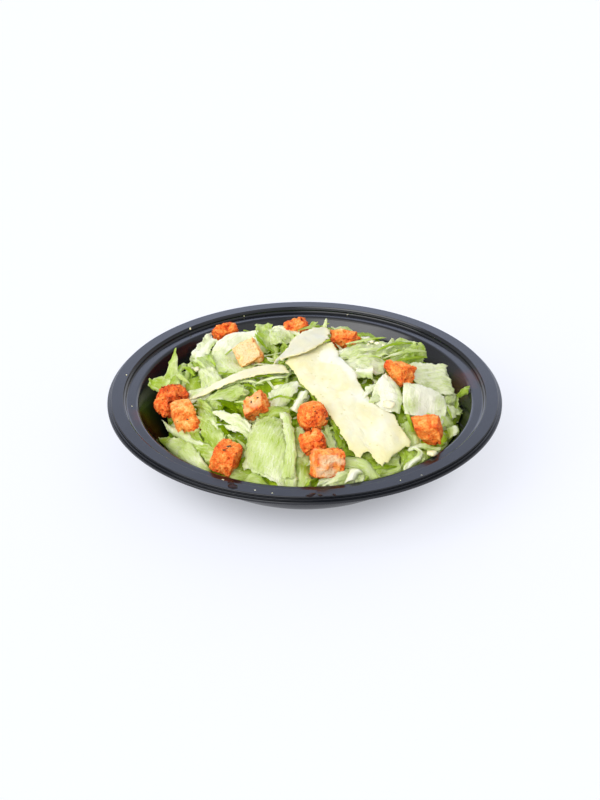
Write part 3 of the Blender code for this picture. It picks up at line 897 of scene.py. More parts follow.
# Flat squares chopped out of whole leaves.
lay("lettuce_panels", [
    leaf([(-24.5, -48.5, 5), (-28, -59, 5), (-29.5, -66.5, 4), (-30.5, -73.5, 2)],
         [(-12, -51, 6), (-9.5, -63, 6), (-8, -72, 4.5), (-9, -88, 0.5)], green=0.38, fade=-0.04, crown=2.0,
         pleat=(0.10, 1.5), pucker=0.2, veined=0.35, grid=0.42, seed=201),
    leaf([(-12.5, -49, 7.4), (-10.5, -58.5, 7.4), (-9.5, -70, 5.4), (-11, -82.5, 3)],
         [(-9, -47.5, 7), (-5.5, -60, 7), (-4, -71, 5.5), (-5, -83.5, 3)], green=0.34, fade=0.1, crown=0.9,
         pleat=(0.14, 1.5), pucker=0.2, veined=0.4, grid=0.42, seed=202),
    leaf([(-10, -77.5, 2.5), (-10.5, -86.5, 0.5)], [(-4, -79, 2.5), (-3.5, -87, 0)], green=0.38, crown=0.8,
         seed=203),
    leaf([(-33, -80, 0.5), (-24, -76.5, 1.5), (-15, -86, 0.5)],
         [(-32, -84, 0), (-24, -84.5, 0), (-14, -88.5, 0)], green=0.52, crown=0.8, seed=204),
    leaf([(-5, -52, 1), (-4.5, -71, 1)], [(0.5, -54.5, 1), (0, -71, 1)], green=0.40, crown=1.0, seed=205),
    leaf([(-5.5, -69, 0), (-5, -86, -1)], [(2.5, -66, 0), (3.5, -86, -1)], green=0.48, crown=1.0, seed=206),
    leaf([(-18.5, -38, 1), (-18, -28, 2.5), (-15.5, -20, 3)],
         [(-13.5, -39, 1.5), (-5, -29, 3), (-1, -20, 3)], green=0.26, fade=-0.1, crown=1.2,
         pleat=(0.12, 2.6), seed=207),
    leaf([(-56.5, -19.5, 1.5), (-54.5, -33, 2), (-53, -44.5, 2), (-50, -55, 1.5), (-47, -59.5, 1)],
         [(-50, -26, 3.2), (-45, -42, 3.2), (-41.5, -50.5, 2.6), (-40.5, -58, 2), (-43, -62, 1)],
         green=0.50, crown=1.4, pucker=0.2, seed=208),
    leaf([(-56, -21.5, 1), (-45, -18, 2), (-33.5, -15.5, 2)],
         [(-49, -31.5, 0), (-39, -29, 1.5), (-29, -27, 1.5)], green=0.46, crown=1.4, pleat=(0.2, 3.0),
         seed=209),
    leaf([(-67, -36, 0), (-60, -50, 0), (-54, -60, 0)], [(-55, -40, 1), (-52, -50, 1), (-48, -60, 0.5)],
         green=0.60, crown=1.2, seed=210),
    leaf([(-58, -48.5, 0.5), (-53, -53.5, 1.5), (-47, -57.5, 2), (-41, -60, 1)],
         [(-58.5, -51.5, 0), (-54, -58, 0.5), (-49.5, -65, 0), (-44, -70, 0)], green=0.48, crown=1.2,
         pleat=(0.15, 3), seed=211),
    leaf([(-77.5, -23.5, 1.2), (-69, -35.5, 2.2), (-60, -49, 2.7), (-53.5, -60, 2.2), (-47.5, -70, 1)],
         [(-77.5, -24.5, 0), (-71, -39, 0), (-64, -55.5, 0), (-56.5, -65.5, 0), (-50, -74, -1)], green=0.42,
         fade=-0.1, crown=1.5, pleat=(0.1, 3.2), pucker=0.2, seed=230),
    leaf([(-62.5, 20, 5), (-59, 34, 8), (-52.5, 48, 10.5)], [(-54.5, 18, 2), (-51, 28, 2.5), (-48, 40, 4)],
         green=0.26, cross=0.2, crown=-1.2, thick=(0.7, 1.0), seed=212),
    leaf([(-62, 20.5, 4), (-59, 10, 2.5), (-56, 1.5, 1)], [(-50, 18, 1.5), (-48, 10, 1), (-47, 2, 0.5)],
         green=0.46, crown=1.0, seed=213),
    leaf([(-56.5, 3.5, 2), (-55, -7, 2), (-54, -15.5, 1.5)], [(-48, 2, 2), (-44, -6, 2), (-41, -14.5, 1.5)],
         green=0.32, crown=1.2, pleat=(0.2, 3.5), seed=214),
    leaf([(-64, -17, 1), (-58, -18.5, 1.5), (-50, -20, 1.2)],
         [(-63, -10, 1.5), (-57, -9.5, 2), (-50, -12, 1.8)], green=0.24, crown=0.9, seed=215),
    leaf([(-27, 43, 4.5), (-26, 28, 2.5), (-24.5, 13, 1.2)], [(-18, 44, 4), (-17, 28, 2.5), (-14.5, 14, 1)],
         green=0.50, crown=-1.2, pucker=0.5, pleat=(0.3, 4.0), seed=216),
    leaf([(-19.5, 38, 3), (-19, 28, 2), (-18, 18.5, 1)], [(-3.5, 34, 2.5), (-2, 27, 2), (-2.5, 20, 1.5)],
         green=0.30, fade=0.2, crown=1.0, seed=217),
    leaf([(23, 13.5, 1), (36, 17, 1)], [(23.5, 20, 2), (36, 25, 2)], green=0.52, crown=0.6, seed=218),
    leaf([(19, 11.5, 2.8), (31, 19, 3), (44, 27, 2.8)], [(15.5, 2, 2), (30, 5, 2.2), (43.5, 9, 2)],
         green=0.30, crown=1.2, pleat=(0.35, 3.4), ruffle=0.5, seed=219),
    leaf([(16.5, 3, 1.5), (30, 8, 2), (43.5, 10.5, 2)], [(20, -11, 1.5), (31, -8, 1.5), (42, -5.5, 1.5)],
         green=0.24, crown=1.4, pleat=(0.35, 3.0), ruffle=0.5, seed=220),
    leaf([(52, 5.5, 2), (64, 11, 6.5), (75.5, 17.5, 11.5)], [(60, -17.5, 3), (70, -11, 3.6), (79, -5, 4.5)],
         green=0.26, crown=0.9, pucker=0.3, pleat=(0.12, 3.2), seed=221),
    leaf([(74, 5, 3.5), (74, -6, 3), (74, -15.5, 1.5)], [(78.5, 6, 4.5), (80, 0, 4), (80, -7, 3)],
         green=0.34, crown=0.8, seed=222),
    leaf([(46, -32, -1), (48, -44.5, -1)], [(52.5, -28.5, -1), (55.5, -41.5, -1)], green=0.66, crown=0.8,
         seed=223),
    leaf([(48.5, -43, 0), (50, -50, 0), (52, -57, -0.5)],
         [(56.5, -40.5, 0), (59, -47, 0), (59.5, -53.5, -0.5)], green=0.46, crown=1.0, seed=224),
    leaf([(73, -17, 1), (77, -24.5, 0)], [(78, -11, 2), (84.5, -10, 4)], green=0.34, crown=0.8, seed=225),
    leaf([(74, -22, 0), (73.5, -33.5, -1)], [(78.5, -20, 0), (76, -33, -1)], green=0.42, crown=0.6,
         seed=226),
    leaf([(34.5, -79, -0.5), (42, -76, 0), (48.5, -73, -0.5)],
         [(36.5, -67.5, 0.5), (42, -65, 1), (47.5, -64, 0.5)], green=0.48, crown=1.0, seed=227),
    leaf([(26, -82, -0.5), (38, -78, -1)], [(28, -66.5, 0.5), (48.5, -59.5, 0)], green=0.54, crown=0.8,
         seed=228),
    leaf([(19, -71, 1.5), (26, -71, 2.6), (32.5, -73, 2), (39, -79, 0.5)],
         [(17, -77.5, 0), (24, -77, 0.8), (31, -79.5, 0.3), (37.5, -81, -0.5)], green=0.42, crown=1.8,
         pucker=0.1, ragged=0.06, seed=229),
])

# Narrow shreds with pointed ends, cut across the veins.
lay("lettuce_shreds", [
    leaf([(-23, -46, 2), (-15, -47, 3.5), (-6.5, -45.5, 2)], [(-22, -40, 3), (-15, -39, 4), (-8, -39, 3)],
         green=0.60, crown=1.2, seed=301),
    leaf([(-8.5, -36.5, -3), (-5.5, -51, -4)], [(-4.5, -35, -3), (-1, -49, -4)], green=0.92, seed=302),
    leaf([(-46.5, -39, 5.4), (-37, -43.5, 5.2), (-31, -46.5, 4.2), (-26, -52, 3)],
         [(-46, -41, 5), (-40, -47.5, 3.8), (-35, -51, 2.8), (-28, -55, 1.5)], green=0.22, fade=0.2,
         crown=0.9, ragged=0.4, pleat=(0.2, 2.4), seed=303),
    leaf([(-38, -49.5, 3.2), (-34, -50, 3.2), (-30, -52, 2.4), (-26, -55, 1.2)],
         [(-37, -51.5, 2.8), (-33.5, -53.5, 2.2), (-30, -56, 1.2), (-27, -59, 0.5)], green=0.26, fade=0.2,
         crown=0.7, ragged=0.4, seed=331),
    leaf([(-47, -45, 3), (-40, -48, 3.2), (-34, -51, 2.4)],
         [(-46, -46.5, 3), (-40, -50.5, 2.4), (-35, -53, 2)], green=0.16, crown=0.5, ragged=0.3, seed=332),
    leaf([(-75, -14.5, 1.5), (-68.5, -28, 2.6), (-62.5, -40, 3.2), (-56.5, -50, 3.2), (-49.5, -56.5, 2)],
         [(-74.5, -16, 1), (-70.5, -28, 1), (-63.5, -43, 1), (-57, -52, 1), (-51, -57, 1)], green=0.28,
         fade=-0.1, crown=1.2, seed=304),
    leaf([(-71, -42, 0), (-60, -57, 0)], [(-69.5, -42.5, 0), (-63.5, -58, 0)], green=0.44, crown=0.8,
         seed=306),
    leaf([(-42.5, -20.5, -3), (-41, -36.5, -4)], [(-33, -21, -3), (-32.5, -38, -3)], green=0.86, seed=307),
    leaf([(-49.5, -29.5, -3), (-44.5, -55, -3)], [(-42, -30, -3), (-37.5, -53.5, -3)], green=0.78,
         crown=-1.0, seed=308),
    leaf([(-74.5, -3, 7), (-74, 6, 11), (-70, 14.5, 17.5)],
         [(-69, -2, 5), (-67.5, 6, 8.5), (-69, 14.5, 17)], green=0.46, crown=0.9, cross=-0.2, seed=309),
    leaf([(-73, -5, 5.5), (-78, -1, 10), (-84, 3, 14)], [(-70, 5, 9), (-77, 5.5, 13), (-83.5, 7, 16)],
         green=0.48, crown=0.8, ragged=0.25, seed=310),
    leaf([(-72.5, -2, 9), (-70, 6, 7.5), (-66.5, 14, 7)], [(-66.5, -3, 4), (-65, 6, 5), (-63.5, 14, 5)],
         green=0.50, crown=0.9, cross=-0.3, seed=311),
    leaf([(-65.5, -3, 3), (-62.5, 14, 5)], [(-62.5, -3, 1), (-59.5, 14, 2.5)], green=0.40, crown=0.6,
         seed=312),
    leaf([(-21, 26, -2), (-19.5, 7.5, -2)], [(-8, 29, -2), (-8, 8, -2)], green=0.74, crown=-1.0, seed=313),
    leaf([(-17.5, 4.5, 0), (-16, 15.5, 2)], [(-13.5, 4, 0), (-14.5, 14, 2)], green=0.40, seed=314),
    leaf([(10, 36, 3), (11, 38.5, 6.5)], [(12.4, 36, 3), (12, 38.5, 6.5)], green=0.42, seed=315),
    leaf([(33, 29, -1), (34.6, 32, 2)], [(34.3, 29, -1), (35, 32, 2)], green=0.3, ragged=0.1, seed=316),
    leaf([(26, -8.5, -2), (28.5, -16.5, -3)], [(35.5, -6, -2), (35, -15.5, -3)], green=0.70, seed=317),
    leaf([(49, 5, -0.5), (61.5, 14, -1)], [(50, 13, -0.5), (60.5, 21.5, -1)], green=0.84, pucker=0.6,
         seed=318),
    leaf([(38.5, 2.5, 0), (42, -6, 0)], [(43.5, 12, 0.5), (46.5, 5, 0.5)], green=0.76, seed=319),
    leaf([(79, -9, 0.5), (81, 3, 4)], [(81.5, -9, 2), (83, 3, 7)], green=0.60, crown=0.5, seed=320),
    leaf([(80.5, -1, 3), (84, 2, 6), (89.5, 4, 6)], [(83.5, 5, 7.5), (86, 7, 9), (89.5, 8, 8)], green=0.60,
         crown=1.5, seed=321),
    leaf([(9, -49, 0.5), (12.5, -68.5, 0.5)], [(11.5, -48.5, 1), (16.5, -67, 1)], green=0.40, crown=0.6,
         pleat=(0.2, 2), seed=322),
    leaf([(13, -47, 0.5), (17, -66, 0.5)], [(15.5, -48.5, 0.5), (20.5, -63, 0.5)], green=0.58, crown=0.4,
         seed=323),
    leaf([(17, -55, -3), (17.5, -68, -3)], [(26.5, -54, -3), (26.5, -67, -3)], green=0.72, crown=-1,
         seed=324),
    leaf([(29, -31, 4), (32, -24, 4), (35, -19, 3.5)], [(31, -33, 4), (34.5, -26, 4), (38, -20, 3.5)],
         green=0.2, crown=0.5, ragged=0.4, seed=333),
    leaf([(31, -37, 4), (34, -32, 4), (38, -28, 3.5)], [(33.5, -38, 4), (37, -34, 4), (40, -29, 3.5)],
         green=0.34, crown=0.5, ragged=0.4, seed=334),
])

# Thin strands between the larger pieces, each from one end to the other: (x, y, lift over
# the heap), half its width in the middle, and its green.
STRANDS = (
    ((-46, -12, 2.6), (-34, -10, 3.2), (-24, -12, 2.4), 0.9, 0.62),
    ((-44, -17, 2.4), (-32, -15, 3.0), (-22, -18, 2.2), 0.8, 0.40),
    ((-40, -8, 2.6), (-30, -8.5, 3.2), (-20, -9.5, 2.6), 0.8, 0.78),
    ((-30, -14, 2.6), (-20, -12, 3.2), (-11, -16, 2.2), 1.0, 0.70),
    ((-27, -19, 2.4), (-18, -15, 3.2), (-9, -13, 2.6), 0.8, 0.34),
    ((-38, -24, 2.4), (-30, -19, 3.0), (-24, -24, 2.4), 1.0, 0.72),
    ((-50, -24, 3.0), (-44, -28, 3.8), (-38, -36, 3.4), 0.8, 0.30),
    ((-58, -22, 3.0), (-52, -30, 3.8), (-47, -38, 3.2), 0.9, 0.52),
    ((-62, -26, 2.8), (-55, -36, 3.8), (-47, -46, 3.0), 0.8, 0.36),
    ((-20, -34, 3.0), (-12, -31, 3.8), (-4, -33, 2.6), 0.9, 0.66),
    ((-4, -20, 3.2), (2, -26, 3.8), (5, -34, 3.0), 0.9, 0.60),
    ((0, -38, 3.0), (5, -45, 3.6), (9, -54, 2.6), 1.0, 0.62),
    ((-2, -44, 2.6), (3, -52, 3.0), (6, -62, 2.0), 0.8, 0.40),
    ((4, -14, 2.0), (7, -22, 2.6), (10, -30, 2.0), 1.2, 0.55),
    ((38, 10, 5.0), (50, 21, 7.4), (62, 30, 9.8), 1.0, 0.70),
    ((42, 5, 4.4), (54, 15, 6.6), (66, 25, 9.2), 1.1, 0.40),
    ((46, 3, 3.6), (57, 12, 5.6), (66, 20, 7.6), 1.0, 0.66),
    ((44, 14, 5.6), (54, 25, 8.2), (62, 33, 10.4), 0.9, 0.36),
    ((22, 16, 4.0), (33, 20, 5.4), (44, 27, 6.4), 1.1, 0.50),
    ((24, 9, 4.2), (34, 11, 5.0), (44, 15, 5.2), 0.9, 0.34),
    ((25, 3, 3.6), (33, 5, 4.6), (41, 5, 4.4), 0.9, 0.44),
    ((49, -33, 4.2), (53, -41, 3.8), (55, -49, 2.6), 1.0, 0.70),
    ((31, -76, 1.8), (38, -74, 2.6), (46, -71, 1.6), 1.0, 0.66),
    ((-12, 20, 3.4), (-10, 12, 3.6), (-12, 5, 2.6), 1.0, 0.66),
    ((-27, 30, 3.6), (-24, 20, 3.8), (-20, 12, 3.0), 0.9, 0.70),
    ((-45, -29, 4.2), (-39, -35, 4.6), (-34, -42, 4.0), 1.8, 0.96),
    ((-47, -42, 2.6), (-42, -49, 3.2), (-38, -56, 2.4), 1.4, 0.86),
    ((-52, -34, 3.4), (-48, -42, 4.0), (-44, -50, 3.4), 0.9, 0.34),
    ((-36, -34, 4.4), (-31, -36, 4.8), (-26, -40, 3.6), 0.8, 0.44),
    ((-34, -58, 2.4), (-30, -64, 3.0), (-28, -72, 2.0), 1.0, 0.46),
    ((-66, 10, 6.6), (-62, 4, 7.0), (-58, -3, 5.0), 1.0, 0.62),
    ((-70, 6, 8.0), (-66, 0, 7.4), (-61, -6, 5.0), 0.9, 0.34),
    ((-60, 14, 5.6), (-56, 8, 5.2), (-52, 1, 4.0), 0.9, 0.32),
    ((-52, 16, 3.8), (-50, 9, 4.0), (-47, 1, 3.4), 1.0, 0.60),
    ((13, -46, 2.6), (16, -54, 3.0), (20, -62, 2.0), 1.0, 0.66),
    ((8, -56, 2.6), (11, -63, 3.0), (15, -72, 2.0), 0.9, 0.42),
    ((68, -14, 4.6), (74, -20, 4.2), (77, -27, 2.6), 0.9, 0.56),
    ((56, -46, 3.0), (61, -48, 3.4), (67, -50, 2.6), 0.9, 0.40),
    ((-4, 30, 3.6), (2, 33, 4.2), (8, 38, 3.4), 1.0, 0.50),
    ((-10, 34, 3.4), (-6, 39, 4.2), (-4, 46, 3.4), 1.0, 0.38),
)
strands = []
for number, (start, middle, end, half, green) in enumerate(STRANDS):
    run = Vector((end[0] - start[0], end[1] - start[1])).normalized()
    left, right = [], []
    for (x, y, lift), share in ((start, 0.25), (middle, 1.0), (end, 0.3)):
        left.append((x - run.y * half * share, y + run.x * half * share, lift))
        right.append((x + run.y * half * share, y - run.x * half * share, lift - 0.3))
    strands.append(leaf(left, right, green=green, fade=0.12, crown=0.35, ragged=0.35, pucker=0.25, grid=0.5,
                        seed=601 + number))
lay("lettuce_strands", strands)

# Frilled pieces from the leaf's outer edge, and two pale ones folded beside them.
lay("lettuce_frills", [
    leaf([(42, 19.5, 3.5), (48, 29, 5.5), (55, 38, 8)], [(41, 8, 2.5), (49, 17, 3.5), (58, 27, 5.5)],
         green=0.38, ruffle=0.8, frill=9, pleat=(0.45, 3.6), ragged=0.3, seed=401),
    leaf([(46, 15.5, 2.5), (54, 24, 5.5), (63.5, 31, 9)], [(42.5, 1, 1.5), (54, 12, 4), (67.5, 25.5, 7.5)],
         green=0.50, ruffle=0.9, frill=8, pleat=(0.45, 3.2), ragged=0.3, seed=402),
    leaf([(50, 14.5, 2), (57, 20, 4), (66, 24, 7)], [(48, 4, 0.5), (54, 8, 1), (61.5, 13.5, 2)], green=0.46,
         ruffle=0.7, frill=8, pleat=(0.3, 3.0), ragged=0.3, seed=403),
    leaf([(47, -61, 0.8), (48, -66, 0), (48.5, -72, -0.5)],
         [(69, -53, 1.8), (65, -58.5, 0), (58, -66, -0.5)], green=0.55, crown=1.0, pleat=(0.3, 5),
         seed=404),
    leaf([(48.5, -73, -0.5), (50.5, -68, 1.5), (55, -64.5, 2.8), (56.5, -61.5, 3), (53, -59.5, 2.5)],
         [(52.5, -72, -0.5), (54.5, -68, 1.2), (58, -65, 2.2), (59.5, -60.5, 2.4), (56, -57.5, 2.4)],
         green=0.33, crown=1.0, pleat=(0.15, 2.5), thick=(0.6, 0.9), ragged=0.15, seed=405),
    leaf([(52, -59, 2.2), (60, -55.5, 3), (70, -53, 1.8)],
         [(51, -61.5, 1.2), (59, -58, 2.2), (69.5, -55, 1)], green=0.36, crown=0.8, ruffle=0.3, seed=406),
    leaf([(7, -83.5, 1), (16.5, -80.5, 2.8), (22.5, -79, 3.4), (27, -78.5, 3.4), (30, -80.5, 2)],
         [(7, -85, -1), (16, -85, -1), (22.5, -85, -1), (25.5, -85, -1), (29, -84, -0.5)], green=0.38,
         fade=-0.1, ruffle=0.9, frill=9, crown=0.8, ragged=0.3, pleat=(0.3, 2.6), seed=407),
    leaf([(20, -83.5, 1.5), (22, -80.5, 3.8), (26, -79.5, 4.2)],
         [(24.5, -84.5, 1.2), (27, -81.5, 3.4), (29.5, -80.5, 3.4)], green=0.28, crown=1.6,
         thick=(0.7, 1.0), seed=408),
])

# Loose filling: six shapes of small leaf, strewn over the core wherever it would show.
STRAY_SHAPES = (
    dict(left=[(-8, -10, 0), (-9, 0, 1), (-8, 11, 0)], right=[(8, -11, 0), (10, 0, 1), (9, 10, 0)],
         green=0.56, fade=0.3, crown=2.2, ruffle=0.5, pleat=(0.2, 4.0)),
    dict(left=[(-5, -12, 0), (-7, 0, 0.5), (-2, 12, 0)], right=[(5, -12, 0), (6, 0, 0.5), (1, 12, 0)],
         green=0.66, crown=1.8),
    dict(left=[(-9, -8, 0), (-7, 9, 0)], right=[(7, -9, 0), (9, 8, 0)], green=0.46, fade=-0.3, crown=2.4,
         pucker=0.4),
    dict(left=[(-4, -12, 0), (-5, 0, 1), (-2, 12, 0)], right=[(4, -11, 0), (4, 0, 1), (5, 12, 0)],
         green=0.40, fade=0.3, crown=1.6, thick=(0.8, 1.4)),
    dict(left=[(-8, -9, 0), (-9, 8, 0)], right=[(9, -10, 0), (7, 9, 0)], green=0.70, crown=-1.8,
         ruffle=0.7),
    dict(left=[(-1, -14, 0), (-3.5, 0, 1), (-1, 14, 0)], right=[(1, -14, 0), (3, 0, 1), (1, 14, 0)],
         green=0.46, arch=1.0),
)


def scattered(tree, given, spots, shapes, turns, sizes):
    """Puts shapes on the spots, picked by chance, and turned and sized between two limits."""
    shape = node(
        tree,
        "GeometryNodeCollectionInfo",
        {"Collection": shapes, "Separate Children": True, "Reset Children": True},
    )
    turned = node(
        tree,
        "FunctionNodeRandomValue",
        {0: turns[0], 1: turns[1], "Seed": given["Seed"]},
        data_type="FLOAT_VECTOR",
    )
    sized = node(
        tree,
        "FunctionNodeRandomValue",
        {2: sizes[0], 3: sizes[1], "Seed": given["Seed"]},
        data_type="FLOAT",
    )
    spin = node(tree, "FunctionNodeEulerToRotation", {0: turned})
    facing = node(
        tree,
        "FunctionNodeRotateRotation",
        {0: spots.outputs["Rotation"], 1: spin},
        rotation_space="LOCAL",
    )
    return node(
        tree,
        "GeometryNodeInstanceOnPoints",
        {"Points": spots, "Instance": shape, "Pick Instance": True, "Rotation": facing, "Scale": sized},
    )


LEAF_DENSITY = 60000.0  # leaves on each square metre, before the spacing thins them
TONE_SPREAD = 0.16  # in green, between one strewn leaf and another
strewing, given = geometry_tree(
    "strewn leaves",
    ("Leaves", "Collection"),
    ("Spacing", "Float"),
    ("Tilt", "Float"),
    ("Smallest", "Float"),
    ("Largest", "Float"),
    ("Seed", "Int"),
)
bed = node(strewing, "GeometryNodeInputNamedAttribute", {"Name": "bed"}, data_type="FLOAT")
spots = node(
    strewing,
    "GeometryNodeDistributePointsOnFaces",
    {
        "Mesh": given["Geometry"],
        "Distance Min": given["Spacing"],
        "Density Max": LEAF_DENSITY,
        "Density Factor": bed,
        "Seed": given["Seed"],
    },
    distribute_method="POISSON",
)
lean = node(strewing, "ShaderNodeMath", {0: given["Tilt"], 1: -1.0}, operation="MULTIPLY")
least = node(strewing, "ShaderNodeCombineXYZ", {"X": lean, "Y": lean, "Z": 0.0})
most = node(strewing, "ShaderNodeCombineXYZ", {"X": given["Tilt"], "Y": given["Tilt"], "Z": math.tau})
sizes = (given["Smallest"], given["Largest"])
strewn = scattered(strewing, given, spots, given["Leaves"], (least, most), sizes)
tones = node(
    strewing,
    "FunctionNodeRandomValue",
    {2: -TONE_SPREAD, 3: TONE_SPREAD, "Seed": given["Seed"]},
    data_type="FLOAT",
)
toned = node(
    strewing,
    "GeometryNodeStoreNamedAttribute",
    {"Geometry": strewn, "Name": "tone", "Value": tones},
    data_type="FLOAT",
    domain="INSTANCE",
)
close_tree(strewing, toned, leaf_skin)

# Slivers are the narrow cuts that fall between the larger ones.
SLIVER_SHAPES = (
    dict(left=[(-1.0, -12, 0), (-1.6, 0, 1.5), (-0.4, 12, 0)],
         right=[(0.9, -12, 0), (1.2, 0, 1.5), (0.7, 12, 0)], green=0.30, fade=0.2),
    dict(left=[(-6, -10, 0), (-1.5, 0, 1.2), (-5, 11, 0)],
         right=[(-4.2, -10, 0), (1, 0, 1.2), (-4.4, 11, 0)], green=0.46, fade=-0.2),
    dict(left=[(-3, -8, 0), (0, 0, 2.0), (-2, 8, 0)], right=[(-0.5, -8.5, 0), (3.2, 0, 2.0), (-1, 8, 0)],
         green=0.18, fade=0.2),
    dict(left=[(1, -14, 0), (-2.6, 0, 1), (2, 13, 0)], right=[(2.6, -14, 0), (-0.6, 0, 1), (2.8, 13, 0)],
         green=0.56),
)


def shape_set(name, plans, grid, seed):
    """The shapes that a strewing picks from."""
    shapes = bpy.data.collections.new(name)
    for number, plan in enumerate(plans):
        points, faces, colour, veins = leaf(**plan, grid=grid, seed=seed + 20 * number, settle=False)
        mesh = quads_mesh(f"{name}_{number}", points, faces, {"green": colour}, veins)
        shapes.objects.link(bpy.data.objects.new(f"{name}_{number}", mesh))
    return shapes


PALER = 0.16  # how much less green the low leaves are
BED_RINGS, BED_ANGLES = 30, 90
stray_shapes = shape_set("stray_shapes", STRAY_SHAPES, 0.95, 500)
sliver_shapes = shape_set("sliver_shapes", SLIVER_SHAPES, 0.7, 700)
paler = [dict(plan, green=plan["green"] - PALER) for plan in STRAY_SHAPES]
low_shapes = shape_set("low_shapes", paler, 1.6, 900)


def bed_mesh(name, lift, wanted):
    """A sheet at a height over the heap, with the share of leaves wanted at each place."""
    rings = np.linspace(0.01, 0.965, BED_RINGS)[:, None]
    angles = np.linspace(0, math.tau, BED_ANGLES, endpoint=False)
    reach = wall_radius(BOWL_HEIGHT - edge_depth(angles)) - 1.0
    x, y = rings * reach * np.cos(angles), rings * reach * np.sin(angles)
    z = mound(x, y) + lift - 2.2 * behind(y)
    share = (rings + 0 * angles).ravel()
    points = np.stack([x, y, z], axis=-1).reshape(-1, 3)
    looks = {"bed": wanted(share, points[:, 0], points[:, 1])}
    return quads_mesh(name, points, grid_faces(BED_RINGS, BED_ANGLES, wrap=True), looks)


def strew(name, shapes, lift, wanted, **values):
    """One object of small leaves, strewn where they're wanted and kept inside the bowl."""
    mesh = grown(name, bed_mesh(f"{name}_bed", lift, wanted), strewing, {"Leaves": shapes, **values})
    points = np.empty(3 * len(mesh.vertices))
    mesh.vertices.foreach_get("co", points)
    points = keep_inside(points.reshape(-1, 3) / MM)
    mesh.vertices.foreach_set("co", (points * MM).ravel())
    mesh.update()
    made = mesh_object(name, mesh)
    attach(made, "root")


strew("lettuce_bed", stray_shapes, -2.4,
      lambda share, x, y: ((x > -55) | (share < 0.80)) * ((share < 0.70) | (x < 8) | (y < 38)),
      Spacing=0.0100, Tilt=0.22, Smallest=0.8, Largest=1.15, Seed=3)
strew("lettuce_top", stray_shapes, -0.4,
      lambda share, x, y: np.clip((y - 34) / 10, 0, 1) * (share < 0.78) * (x < 16),
      Spacing=0.0120, Tilt=0.20, Smallest=0.8, Largest=1.1, Seed=8)
strew("lettuce_slivers", sliver_shapes, 0.9,
      lambda share, x, y: (share < 0.86) * (x > -62) * ((share < 0.52) | (x < 8) | (y < 30)),
      Spacing=0.0085, Tilt=0.20, Smallest=0.7, Largest=1.1, Seed=5)
# Round the far side and beside the bare wall the leaves lie flat and low.
strew("lettuce_behind", low_shapes, -1.5,
      lambda share, x, y: (share > 0.62) * ((y > 28) | (x < -48) | (x > 58))
      * (share < np.where((x < -48) & (y < 34), 0.87, 0.94)),
      Spacing=0.0074, Tilt=0.14, Smallest=0.75, Largest=1.1, Seed=6)


def cleared(shapes):
    """Takes a set of shapes out of the scene once they've been strewn."""
    for shape in list(shapes.objects):
        bpy.data.objects.remove(shape, do_unlink=True)
    bpy.data.collections.remove(shapes)


for shapes in (stray_shapes, sliver_shapes, low_shapes):
    cleared(shapes)

# ---------------------------------------------------------------------------------------
# Croutons. Half-inch cubes of torn bread, fried with an orange-red seasoning. The crust is
# flaked and pitted, and the pale crumb shows where a cube was cut or rubbed.

VOXEL = 0.40
VIEW_UP = np.array([0.0, 0.5, 0.866])  # up, as a diner leaning over the bowl sees it


def loaf(crumb, toasting, rough, rounding, turn=(0, 0, 0), pulls=(), lumps=()):
    """One cube's own shape: where pale crumb shows and how much, how dark it fried, how
    flaked and round it is, how it lies, how its corners stretch (top left, top right,
    bottom left, bottom right, each as across and up), and lumps as (x, y, z, radius)."""
    return dict(crumb=crumb, toasting=toasting, rough=rough, rounding=rounding, turn=turn, pulls=pulls,
                lumps=lumps)


